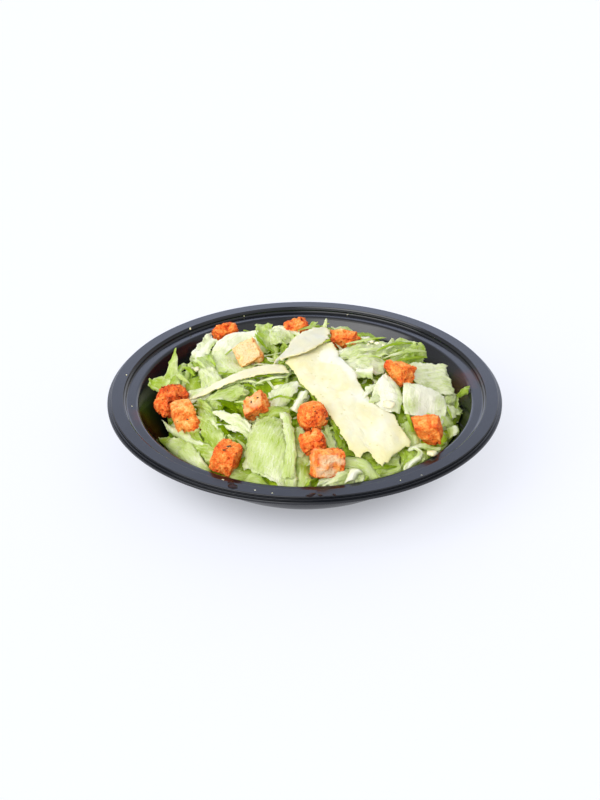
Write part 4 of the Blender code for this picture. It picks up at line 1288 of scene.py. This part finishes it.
BREAD = {
    1: loaf(((0.2, -0.3, 1.0), 0.05), 0.80, 1.5, 0.05, pulls=((0, -3.0), (0, -1.0), (0, 0.5), (-1.5, 1.5)),
            lumps=((0.5, 1, 6, 2.4),)),
    2: loaf(((-0.35, -0.66, 0.66), 0.60), 0.24, 0.8, 0.0, turn=(42, 0, -24),
            pulls=((1.6, -1.8), (-1.2, -1.8), (0.8, 1.8), (-1.5, 1.2)), lumps=((6.0, -1.5, -1.5, 4.2),)),
    3: loaf(((0.1, -0.5, 0.9), 0.1), 0.78, 1.5, 0.1, pulls=((0.5, -1.5), (-1, 0.5), (0, 0), (0, 0)),
            lumps=((3, 1, 5.5, 2.0), (-4, 1, 4, 2.2))),
    4: loaf(((0.0, -0.7, 0.6), 0.05), 0.72, 1.4, 0.1, pulls=((-1, -1.5), (1, -2.5), (2, 0), (0, 1.5)),
            lumps=((6.5, 0, 1, 2.2),)),
    5: loaf(((0.2, -0.6, 0.5), 0.0), 0.70, 1.4, 0.08, pulls=((1, 0.5), (-0.5, -2.5), (4, 2), (-1, 0.5)),
            lumps=((-6.5, 1, 3.5, 3.6), (2, -3, -4, 4.0))),
    6: loaf(((-0.8, -0.3, 0.4), 0.0), 0.84, 1.7, 0.05, lumps=((-5.5, -2, -1, 3.6), (1.5, 1, 5, 3.0))),
    7: loaf(((0.0, -0.9, 0.2), 0.0), 0.60, 0.7, 0.12, pulls=((0, 2), (-2, 1), (1, 0), (0, 0)),
            lumps=((5.2, -4.5, -1.5, 5.0),)),
    8: loaf(((-0.1, -0.55, 0.83), 0.56), 0.62, 1.1, 0.0, turn=(22, 0, -22),
            pulls=((2.5, -1.5), (0.8, 1.0), (-0.5, -1.0), (-1.5, 0.5))),
    9: loaf(((0.5, -0.5, 0.8), 0.0), 0.74, 0.9, 0.85),
    10: loaf(((-0.4, -0.7, 0.5), 0.1), 0.72, 1.6, 0.25,
             lumps=((2, 2, 4.5, 2.8), (-3.5, -1, 0, 3.0), (2.5, -1.5, -2, 2.8))),
    11: loaf(((-0.15, -0.80, 0.60), 1.0), 0.66, 1.1, 0.08, turn=(0, 0, 14), lumps=((-5, 4, 3.5, 3.4),)),
    12: loaf(((-0.4, -0.8, 0.2), 0.0), 0.70, 0.9, 0.25, pulls=((1.5, -0.5), (0, -0.5), (-1, 0), (-1.5, 0))),
    13: loaf(((0.5, -0.5, 0.7), 0.0), 0.72, 0.75, 0.0,
             pulls=((-3.4, -1.4), (-0.2, 1.2), (5.5, 0.5), (0.2, 1.0))),
}

toast, tree = new_material("fried bread, orange-red seasoning")
# Flakes that stand out are painted a lighter yellow-orange, partly a painted highlight; hollows are
# painted a darker red, partly seasoning and partly painted shade; the crumb is cream with an orange stain.
crumb, toasted_and_shaded, pit, flaked = (
    node(tree, "ShaderNodeAttribute", attribute_name=look).outputs["Fac"]
    for look in ("crumb", "toasted_and_shaded", "pit", "flaked")
)
place = node(tree, "ShaderNodeTexCoord").outputs["Object"]
blotch = node(
    tree, "ShaderNodeTexNoise", {"Vector": place, "Scale": 260.0, "Detail": 4.0, "Roughness": 0.6}
)
speck = node(
    tree, "ShaderNodeTexNoise", {"Vector": place, "Scale": 1250.0, "Detail": 3.0, "Roughness": 0.7}
)
toast_and_painted_light = node(tree, "ShaderNodeMath", {0: blotch, 1: toasted_and_shaded}, operation="ADD")
toast_and_painted_light = node(tree, "ShaderNodeMath", {0: flaked, 1: -0.26, 2: toast_and_painted_light}, operation="MULTIPLY_ADD")
toast_and_painted_light = node(
    tree,
    "ShaderNodeMapRange",
    {"Value": toast_and_painted_light, "From Min": 0.66, "From Max": 1.52, "To Min": 0.0, "To Max": 1.0},
)
ramp = node(tree, "ShaderNodeValToRGB", {"Fac": toast_and_painted_light})
set_stops(
    ramp, ((0.0, "#F8CE8E"), (1.0, "#8E2408"), (0.26, "#F6A652"), (0.50, "#EE7A2C"), (0.76, "#DC501A"))
)
grains = node(
    tree,
    "ShaderNodeMapRange",
    {"Value": speck, "From Min": 0.52, "From Max": 0.72, "To Min": 0.0, "To Max": 0.55},
)
dusted = node(tree, "ShaderNodeMix", {0: grains, 6: ramp, 7: linear("#FFC274")}, data_type="RGBA")
burn = node(
    tree,
    "ShaderNodeMapRange",
    {"Value": speck, "From Min": 0.36, "From Max": 0.28, "To Min": 0.0, "To Max": 0.35},
)
scorched = node(tree, "ShaderNodeMix", {0: burn, 6: dusted, 7: linear("#A8380F")}, data_type="RGBA")
stained = node(
    tree,
    "ShaderNodeMapRange",
    {"Value": speck, "From Min": 0.50, "From Max": 0.66, "To Min": 0.10, "To Max": 0.9},
)
stain = node(
    tree, "ShaderNodeMix", {0: stained, 6: linear("#F0D0A4"), 7: linear("#E88A48")}, data_type="RGBA"
)
opened = node(tree, "ShaderNodeMix", {0: crumb, 6: scorched, 7: stain}, data_type="RGBA")
deep = node(tree, "ShaderNodeMix", {0: pit, 6: opened, 7: linear("#D0591A")}, data_type="RGBA")
relief = node(tree, "ShaderNodeBump", {"Height": speck, "Strength": 0.7, "Distance": 0.0003})
gloss = node(
    tree,
    "ShaderNodeMapRange",
    {"Value": blotch, "From Min": 0.35, "From Max": 0.65, "To Min": 0.42, "To Max": 0.75},
)
bread = node(
    tree,
    "ShaderNodeBsdfPrincipled",
    {"Base Color": deep, "Roughness": gloss, "Normal": relief, "IOR": 1.33, "Specular IOR Level": 0.35},
)
finish_material(tree, bread)


def torn(place):
    """The bread's surface at a place: its broad lumps, its flakes, and how deep in a pit."""
    lump = noise.noise(place / 5.2)
    middling = noise.noise(place / 2.6 + Vector((1, 5, 3)))
    flake = 1.0 - 2.4 * abs(noise.noise(place / 1.4 + Vector((7, 3, 9))))
    fine = noise.noise(place / 0.75 + Vector((2, 8, 4)))
    hole = max(0.0, 0.40 - noise.voronoi(place / 2.9)[0][0]) / 0.40
    finest = noise.noise(place / 0.42 + Vector((5, 1, 6)))
    return 0.8 * lump + 0.6 * middling, 0.34 * flake + 0.26 * fine + 0.14 * finest, hole


def fine_bread(name, middle, turn, lumps):
    """A packed block, turned and joined to its lumps, as one mesh with fine faces."""
    block = frame["nodes"][name].data.copy()
    merged = bmesh.new()
    merged.from_mesh(block)
    bmesh.ops.remove_doubles(merged, verts=merged.verts, dist=0.00001)
    lie = Matrix.Rotation(math.radians(turn[2]), 3, "Z") @ Matrix.Rotation(math.radians(turn[0]), 3, "X")
    bmesh.ops.rotate(merged, cent=middle, matrix=lie, verts=merged.verts)
    for x, y, z, radius in lumps:
        at = Matrix.Translation(middle + Vector((x, y, z)) * MM)
        bmesh.ops.create_icosphere(merged, subdivisions=3, radius=radius * MM, matrix=at)
    merged.to_mesh(block)
    merged.free()
    holder = mesh_object(f"{name}_block", block)
    remesh = holder.modifiers.new("fine", "REMESH")
    remesh.mode = "VOXEL"
    remesh.voxel_size = VOXEL * MM
    bpy.context.view_layer.update()
    seen = holder.evaluated_get(bpy.context.evaluated_depsgraph_get())
    mesh = bpy.data.meshes.new_from_object(seen)
    bpy.data.objects.remove(holder, do_unlink=True)
    return mesh


def baked(number, crumb, toasting, rough, rounding, turn, pulls, lumps):
    """A crouton's fine surface, grown over its packed block."""
    name = f"crouton_{number:02d}"
    low, high = (Vector(corner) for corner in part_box(name))
    middle = (low + high) / 2
    mesh = fine_bread(name, middle, turn, lumps)
    count = len(mesh.vertices)
    spots, normals = np.empty(count * 3), np.empty(count * 3)
    mesh.vertices.foreach_get("co", spots)
    mesh.vertex_normals.foreach_get("vector", normals)
    spots, normals = spots.reshape(-1, 3) / MM, normals.reshape(-1, 3)
    facing = normals @ (np.array(crumb[0]) / np.linalg.norm(crumb[0]))
    centre = np.array(middle) / MM
    away = spots - centre
    radius = np.linalg.norm(away, axis=1, keepdims=True)
    away *= 1 + rounding * (radius.mean() / radius - 1)
    if pulls:
        across, above = away[:, 0], away @ VIEW_UP
        s, t = [0.5 + 0.5 * np.clip(side / np.abs(side).max(), -1, 1) for side in (across, above)]
        weights = ((1 - s) * t, s * t, (1 - s) * (1 - t), s * (1 - t))
        for weight, (sideways, upward) in zip(weights, pulls):
            away[:, 0] += weight * sideways
            away += (weight * upward)[:, None] * VIEW_UP
    shaped = centre + away
    crumbs, pits, flakes = np.zeros(count), np.zeros(count), np.zeros(count)
    # Faces turned towards the lamp are painted lighter and faces turned away darker, a painted shade.
    fried = toasting - 0.16 * (normals @ np.array([-0.35, -0.30, 0.88])) - 0.02
    # Corners and edges fried darkest, and keep no crumb.
    corner = (radius[:, 0] - radius.min()) / (radius.max() - radius.min())
    fried += 0.30 * corner**2
    inner = np.clip(1.25 - 1.5 * corner**2, 0, 1)
    for i in range(count):
        spot = Vector(shaped[i])
        broad, flake, hole = torn(spot + Vector((31.0 * number, 0, 0)))
        share = (facing[i] + 0.55 * noise.noise(spot / 3.6) - (0.95 - 0.40 * crumb[1])) / 0.30
        crumbs[i] = min(1.0, max(0.0, share)) * min(1.0, crumb[1] * 1.4) * inner[i]
        # Pits are kept to be painted darker, partly painted shade, and flakes to be painted lighter, partly
        # a painted highlight.
        pits[i] = hole * 0.40 * (1 - crumbs[i])
        flakes[i] = flake * 1.7 + 0.5 * broad - 0.3 * hole
        soft = 1 - 0.55 * crumbs[i]
        shaped[i] += normals[i] * (rough * soft * (0.8 * broad + flake - 1.0 * hole**0.8) - 0.15)
    mesh.vertices.foreach_set("co", (shaped * MM).ravel())
    store(mesh, {"crumb": crumbs, "pit": pits, "flaked": flakes, "toasted_and_shaded": fried})
    mesh.update()
    mesh.shade_smooth()
    piece = mesh_object(f"{name}_toasted", mesh, toast)
    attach(piece, "root")
    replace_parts(piece, name)
    return piece


toasted_bread = [baked(number, **look) for number, look in BREAD.items()]

# ---------------------------------------------------------------------------------------
# Cheese. Thin shavings peeled off a block of hard cheese: cream, a little waxy, with faint
# marks along the peel, a cracked end and a yellower cut edge.

SHEET = 0.8  # thickness of a shaving
CHIPS = 0.32  # how far its edges are chipped
SHEET_STEPS = 70  # between its left and its right side
# Outlines as (across, deep): the far edge, the near edge, the left side and the right side.
WIDE = (
    ((-10, -3), (-7, 3), (-2, 7), (4, 11), (9, 15), (14, 16), (17.5, 8)),
    ((25.5, -72), (27.5, -73), (30, -69.5), (32.5, -68), (34, -71.5), (36, -73.5), (38.5, -75.5),
     (41.5, -72.5), (45.5, -67), (49, -62.5), (53.5, -58.5)),
    ((-10, -3), (-6, -9.5), (-2.5, -20.5), (2.5, -29), (7.5, -36), (12, -44.5), (16, -53.5),
     (19, -61), (22.5, -68), (25.5, -72)),
    ((17.5, 8), (18.5, -0.5), (19.5, -4.5), (22, -2.5), (24.5, -6), (27, -12.5), (28, -19.5),
     (30.5, -24.5), (32.5, -28.5), (33, -32), (35, -35), (38, -39), (43.5, -41), (46, -42.5),
     (47.5, -46), (49.5, -50.5), (52, -54.5), (53.5, -58.5)),
)
UPPER = (
    ((-16, -6), (-12.5, 0.5), (-9.5, 6.5), (-7, 14), (-2.5, 20), (3, 25.5), (8.5, 28.5), (12.5, 29.5)),
    ((-16, -7.5), (-13, -3.8), (-7.5, -1.5), (-2.5, 0), (3, 4), (7, 8.5), (11, 14), (12.5, 17.5)),
    ((-16, -6), (-16, -7.5)),
    ((12.5, 29.5), (13, 24), (12.5, 17.5)),
)
RIBBON = (
    ((-61, -16), (-56.5, -16.8), (-51.5, -16.5), (-42.5, -13.5), (-35.5, -10.5), (-28.5, -7.5),
     (-21, -5), (-13, -4)),
    ((-60.8, -17), (-56, -19.5), (-51, -20.5), (-43, -19.5), (-34, -17), (-25.5, -14.5), (-17, -13),
     (-8, -11)),
    ((-61, -16), (-60.8, -17)),
    ((-13, -4), (-10, -7), (-8, -11)),
)

cheese, tree = new_material("hard cheese, shaved")
# Cream with drier, whiter patches along one side, scattered yellow-green specks of rind and
# a yellower cut edge. Where the sheet is thinnest it is greyer and lets light through.
place = node(tree, "ShaderNodeTexCoord").outputs["Object"]
edge, dry, thin = (
    node(tree, "ShaderNodeAttribute", attribute_name=look).outputs["Fac"]
    for look in ("edge", "dry", "thin")
)
cloud = node(tree, "ShaderNodeTexNoise", {"Vector": place, "Scale": 95.0, "Detail": 6.0, "Roughness": 0.62})
grain = node(tree, "ShaderNodeTexNoise", {"Vector": place, "Scale": 1300.0, "Detail": 3.0})
peel = node(tree, "ShaderNodeUVMap", uv_map="veins")
peel_map = node(tree, "ShaderNodeMapping", {"Vector": peel, "Scale": (0.9, 0.06, 1.0)})
marks = node(
    tree, "ShaderNodeTexNoise", {"Vector": peel_map, "Scale": 1.0, "Detail": 4.0}, noise_dimensions="2D"
)
warm = node(tree, "ShaderNodeMapRange", {"Value": cloud, "From Min": 0.36, "From Max": 0.64})
milk = node(
    tree, "ShaderNodeMix", {0: warm, 6: linear("#E8E3C4"), 7: linear("#E4DBAA")}, data_type="RGBA"
)
ragged = node(tree, "ShaderNodeMath", {0: cloud, 1: dry}, operation="ADD")
dried = node(
    tree, "ShaderNodeMapRange", {"Value": ragged, "From Min": 0.96, "From Max": 1.20, "To Max": 0.8}
)
pale = node(tree, "ShaderNodeMix", {0: dried, 6: milk, 7: linear("#EEECDC")}, data_type="RGBA")
spots = node(tree, "ShaderNodeTexVoronoi", {"Vector": place, "Scale": 260.0, "Randomness": 1.0})
spotted = node(
    tree,
    "ShaderNodeMapRange",
    {"Value": spots, "From Min": 0.10, "From Max": 0.17, "To Min": 0.55, "To Max": 0.0},
)
speckled = node(tree, "ShaderNodeMix", {0: spotted, 6: pale, 7: linear("#C9C274")}, data_type="RGBA")
cut = node(tree, "ShaderNodeMix", {0: edge, 6: speckled, 7: linear("#E6DC98")}, data_type="RGBA")
greyed = node(tree, "ShaderNodeMix", {0: thin, 6: cut, 7: linear("#CFCDB8")}, data_type="RGBA")
height = node(tree, "ShaderNodeMath", {0: marks, 1: grain}, operation="ADD")
relief = node(tree, "ShaderNodeBump", {"Height": height, "Strength": 0.35, "Distance": 0.0003})
slice_skin = node(
    tree,
    "ShaderNodeBsdfPrincipled",
    {
        "Base Color": greyed,
        "Roughness": 0.42,
        "Normal": relief,
        "Subsurface Weight": 0.30,
        "Subsurface Radius": (0.0020, 0.0015, 0.0007),
        "Subsurface Scale": 1.0,
    },
)
finish_material(tree, slice_skin)


def shaving(name, outline, lift, curl, seed, steps=130, thin=0.0, dry=0.0):
    """A sheet filled in between its four edges, which are chipped. It is dry on its right."""
    far, near, left, right = outline
    far, near = evenly(far, SHEET_STEPS)[None], evenly(near, SHEET_STEPS)[None]
    left, right = evenly(left, steps)[:, None], evenly(right, steps)[:, None]
    u, v = np.meshgrid(np.linspace(0, 1, SHEET_STEPS), np.linspace(0, 1, steps))
    U, V = u[..., None], v[..., None]
    plan = (1 - V) * far + V * near + (1 - U) * left + U * right
    plan = plan - (1 - U) * (1 - V) * far[:, :1] - U * (1 - V) * far[:, -1:]
    plan = plan - (1 - U) * V * near[:, :1] - U * V * near[:, -1:]
    rim = np.maximum(np.abs(2 * u - 1), np.abs(2 * v - 1)) ** 12
    for k in (0, 1):
        fray = waves(seed + k, *plan.T, 5).T + 0.9 * waves(seed + 5 + k, *plan.T, 2.0).T
        fray += 0.6 * waves(seed + 8 + k, *plan.T, 1.1).T
        plan[..., k] += CHIPS * rim * fray
    x, y = plan[..., 0], plan[..., 1]
    z = mound(x, y) + lift + curl * np.sin(math.pi * u) + 0.45 * waves(seed + 2, x, y, 24)
    z = z + 0.16 * waves(seed + 3, x, y, 7) - 0.35 * np.maximum(0, waves(seed + 10, x, y, 6) - 0.9)
    middle = np.stack([x, y, z], axis=-1)
    thickness = SHEET * (1 - 0.6 * rim) + 0.06 * waves(seed + 4, x, y, 5)
    points, faces = sheet_shell(middle, thickness)
    veins = np.tile(np.stack([u * 30, v * 90], axis=-1).reshape(-1, 2), (2, 1))
    dryness = dry * (u + 0.45 * waves(seed + 11, x, y, 22))
    looks = {"edge": rim, "dry": dryness, "thin": thin * (1 - 0.7 * rim)}
    looks = {label: np.tile(values.ravel(), 2) for label, values in looks.items()}
    mesh = quads_mesh(name, points, faces, looks, veins)
    closed_up(mesh, 0.000005)
    piece = mesh_object(name, mesh, cheese)
    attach(piece, "root")
    return piece


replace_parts(shaving("wide_shaving", WIDE, 3.8, 0.6, 61, dry=0.62), "shaving_wide")
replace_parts(shaving("upper_shaving", UPPER, 6.2, 0.9, 71, steps=30, thin=0.75), "shaving_upper")
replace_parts(shaving("ribbon_shaving", RIBBON, 4.0, 0.8, 81, steps=20, thin=0.35), "shaving_ribbon")

# Crumbs of the same cheese, on the leaves and on the ledge.


def grit(seed, size, detail):
    """One broken crumb: points in millimetres round its middle, and its triangles."""
    ball = bmesh.new()
    bmesh.ops.create_icosphere(ball, subdivisions=detail, radius=1.0)
    points = np.array([v.co[:] for v in ball.verts])
    faces = np.array([[v.index for v in f.verts] for f in ball.faces])
    ball.free()
    lumpy = [1 + 0.5 * noise.noise(Vector(p) * 1.3 + Vector((seed * 7.0, 0, 0))) for p in points]
    points = np.array(size) * points * np.array(lumpy)[:, None] / 2
    points[:, 2] = np.maximum(points[:, 2], -0.25 * points[:, 2].max())
    turn = seed * 2.4
    spin = np.array([[math.cos(turn), math.sin(turn), 0], [-math.sin(turn), math.cos(turn), 0], [0, 0, 1]])
    return points @ spin, faces


def sprinkled(name, bits, material):
    """One object from crumbs, each (x, y, z, size)."""
    all_points, all_faces, count = [], [], 0
    for seed, (x, y, z, size) in enumerate(bits):
        points, faces = grit(seed + len(name), size, 2 if np.max(size) > 1.5 else 1)
        all_points.append(points + (x, y, z))
        all_faces.append(faces + count)
        count += len(points)
    mesh = bpy.data.meshes.new(name)
    mesh.from_pydata((np.concatenate(all_points) * MM).tolist(), [], np.concatenate(all_faces).tolist())
    mesh.shade_smooth()
    made = mesh_object(name, mesh, material)
    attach(made, "root")


def on_heap(x, y, lift, size):
    """A crumb at a height over the heap."""
    return (x, y, float(mound(np.float64(x), np.float64(y))) + lift, size)


def on_bowl(radius, degrees, drop, size):
    """A crumb at a depth under the rim, placed by its radius and its turn round the bowl."""
    turn = math.radians(degrees)
    return (radius * math.cos(turn), radius * math.sin(turn), BOWL_HEIGHT - drop, size)


sprinkled(
    "cheese_crumbs",
    [
        (64, -61, BOWL_HEIGHT - LEDGE_DROP + 0.9, (5.4, 4.6, 3.6)),
        on_heap(43, -37, 5.4, (6.4, 5.4, 4.4)),
        on_heap(-57.5, 4, 4.0, (4.2, 2.8, 2.2)),
        on_heap(-59.5, 6.5, 4.0, (2.4, 2.0, 1.6)),
        on_heap(39, 17.5, 5.6, (3.2, 2.4, 2.0)),
        on_heap(36, 18.5, 5.4, (2.4, 2.0, 1.6)),
        on_heap(42, 16.5, 5.6, (2.2, 1.6, 1.4)),
        on_heap(34, 15.5, 5.2, (1.8, 1.4, 1.2)),
        on_bowl(93.3, -115.7, LEDGE_DROP - 0.3, (1.6, 1.2, 0.9)),
    ],
    cheese,
)
# White specks of cheese dust on the flange, the step and the ledge.
sprinkled(
    "cheese_specks",
    [
        on_bowl(97.8, 170.4, 0, (1.1, 0.9, 0.5)),
        on_bowl(99.9, -104, 0, (1.0, 0.8, 0.4)),
        on_bowl(100.8, -99, 0, (0.8, 0.7, 0.4)),
        on_bowl(100.0, -62, 0, (0.9, 0.7, 0.4)),
        on_bowl(101.5, -55.3, 0, (0.7, 0.6, 0.4)),
        on_bowl(95.9, 132.7, 1.0, (1.2, 1.0, 2.2)),
        on_bowl(95.3, 111.6, 2.0, (1.0, 0.9, 0.8)),
        on_bowl(95.7, 109.2, 1.5, (0.8, 0.8, 0.7)),
        on_bowl(94.6, 74.8, 2.6, (1.1, 0.9, 0.8)),
        on_bowl(95.6, 39.9, 1.5, (0.9, 0.8, 0.8)),
        on_bowl(92.0, -172.4, LEDGE_DROP, (1.0, 0.9, 0.5)),
    ],
    cheese,
)

# ---------------------------------------------------------------------------------------
# Oil and herbs. Dark red oil from the seasoning has dripped on the front of the flange, and
# flecks of dried herb stick to the croutons.

oil, tree = new_material("seasoned oil, dark red")
# Glossy and nearly black, with a trace of red.
drop_skin = node(
    tree,
    "ShaderNodeBsdfPrincipled",
    {"Base Color": linear("#1A0503"), "Roughness": 0.30, "Specular IOR Level": 0.22},
)
finish_material(tree, drop_skin)
sprinkled(
    "oil_drops",
    [
        on_bowl(100.2, -110.4, 0, (5.6, 3.6, 0.5)),
        on_bowl(98.4, -111.4, 0, (3.4, 3.0, 0.5)),
        on_bowl(97.3, -112.2, 0, (2.0, 2.6, 0.4)),
        on_bowl(101.3, -88.4, 0, (5.4, 2.6, 0.6)),
        on_bowl(101.8, -85.8, 0, (2.4, 1.6, 0.4)),
        on_bowl(102.0, -82, 0, (2.2, 1.4, 0.4)),
    ],
    oil,
)

herb, tree = new_material("dried herb flakes")
# Dark olive brown and dull.
flake_skin = node(tree, "ShaderNodeBsdfPrincipled", {"Base Color": linear("#4A3A16"), "Roughness": 0.7})
finish_material(tree, flake_skin)
# A flake is a small bent leaf scrap of a few faces.
FLAKE = (
    (-0.9, -0.2, 0.05), (-0.3, -0.45, 0.20), (0.5, -0.35, 0.22), (1.0, 0.05, 0.08),
    (0.4, 0.45, 0.18), (-0.4, 0.4, 0.22), (0.05, 0.0, -0.15),
)
FLAKE_FACES = (
    (0, 1, 5), (1, 2, 4, 5), (2, 3, 4), (1, 0, 6), (2, 1, 6), (3, 2, 6), (4, 3, 6), (5, 4, 6), (0, 5, 6),
)
scrap = bpy.data.meshes.new("herb_flake")
scrap.from_pydata([tuple(0.55 * c * MM for c in p) for p in FLAKE], [], FLAKE_FACES)
flake_shapes = bpy.data.collections.new("herb_shapes")
flake_shapes.objects.link(bpy.data.objects.new("herb_flake", scrap))
HERB_DENSITY = 5200.0  # flakes on each square metre of crust
HERB_TILT = 0.4
tree, given = geometry_tree("herb flecks", ("Flake", "Collection"), ("Density", "Float"), ("Seed", "Int"))
spots = node(
    tree,
    "GeometryNodeDistributePointsOnFaces",
    {"Mesh": given["Geometry"], "Density": given["Density"], "Seed": given["Seed"]},
    distribute_method="RANDOM",
)
turns = ((-HERB_TILT, -HERB_TILT, 0.0), (HERB_TILT, HERB_TILT, math.tau))
flecks = scattered(tree, given, spots, given["Flake"], turns, (0.5, 1.25))
close_tree(tree, flecks, herb)
crusts = bmesh.new()
for piece in toasted_bread:
    crusts.from_mesh(piece.data)
crust_mesh = bpy.data.meshes.new("all_crusts")
crusts.to_mesh(crust_mesh)
crusts.free()
herb_flecks = mesh_object(
    "herb_flecks",
    grown("herb_flecks", crust_mesh, tree, {"Flake": flake_shapes, "Density": HERB_DENSITY, "Seed": 4}),
)
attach(herb_flecks, "root")
cleared(flake_shapes)

# Larger scraps that lie flat on a crouton: its number, how far across and up its face as a
# diner sees it, and the scrap's size.
VIEW_WAY = Vector((0.0, 0.866, -0.5))  # the way the diner looks
scraps = []
for number, across, up, size in (
    (12, 1.5, 5.5, (3.4, 2.4, 0.9)),
    (12, -0.4, 4.2, (1.8, 1.4, 0.7)),
    (9, 7.2, -1.0, (2.4, 3.0, 1.2)),
    (7, 1.0, -0.5, (1.6, 0.9, 0.6)),
    (8, -3.0, 3.0, (3.6, 0.9, 0.6)),
    (8, 0.5, 5.0, (2.4, 0.9, 0.6)),
):
    crust = toasted_bread[number - 1]
    corners = [Vector(c) for c in crust.bound_box]
    centre = sum(corners, Vector()) / 8
    start = centre + Vector((across * MM, 0, 0)) + Vector(VIEW_UP) * up * MM - VIEW_WAY * 0.05
    struck, place, *_ = crust.ray_cast(start, VIEW_WAY)
    if struck:
        scraps.append((*[c / MM for c in place], size))
sprinkled("herb_scraps", scraps, herb)
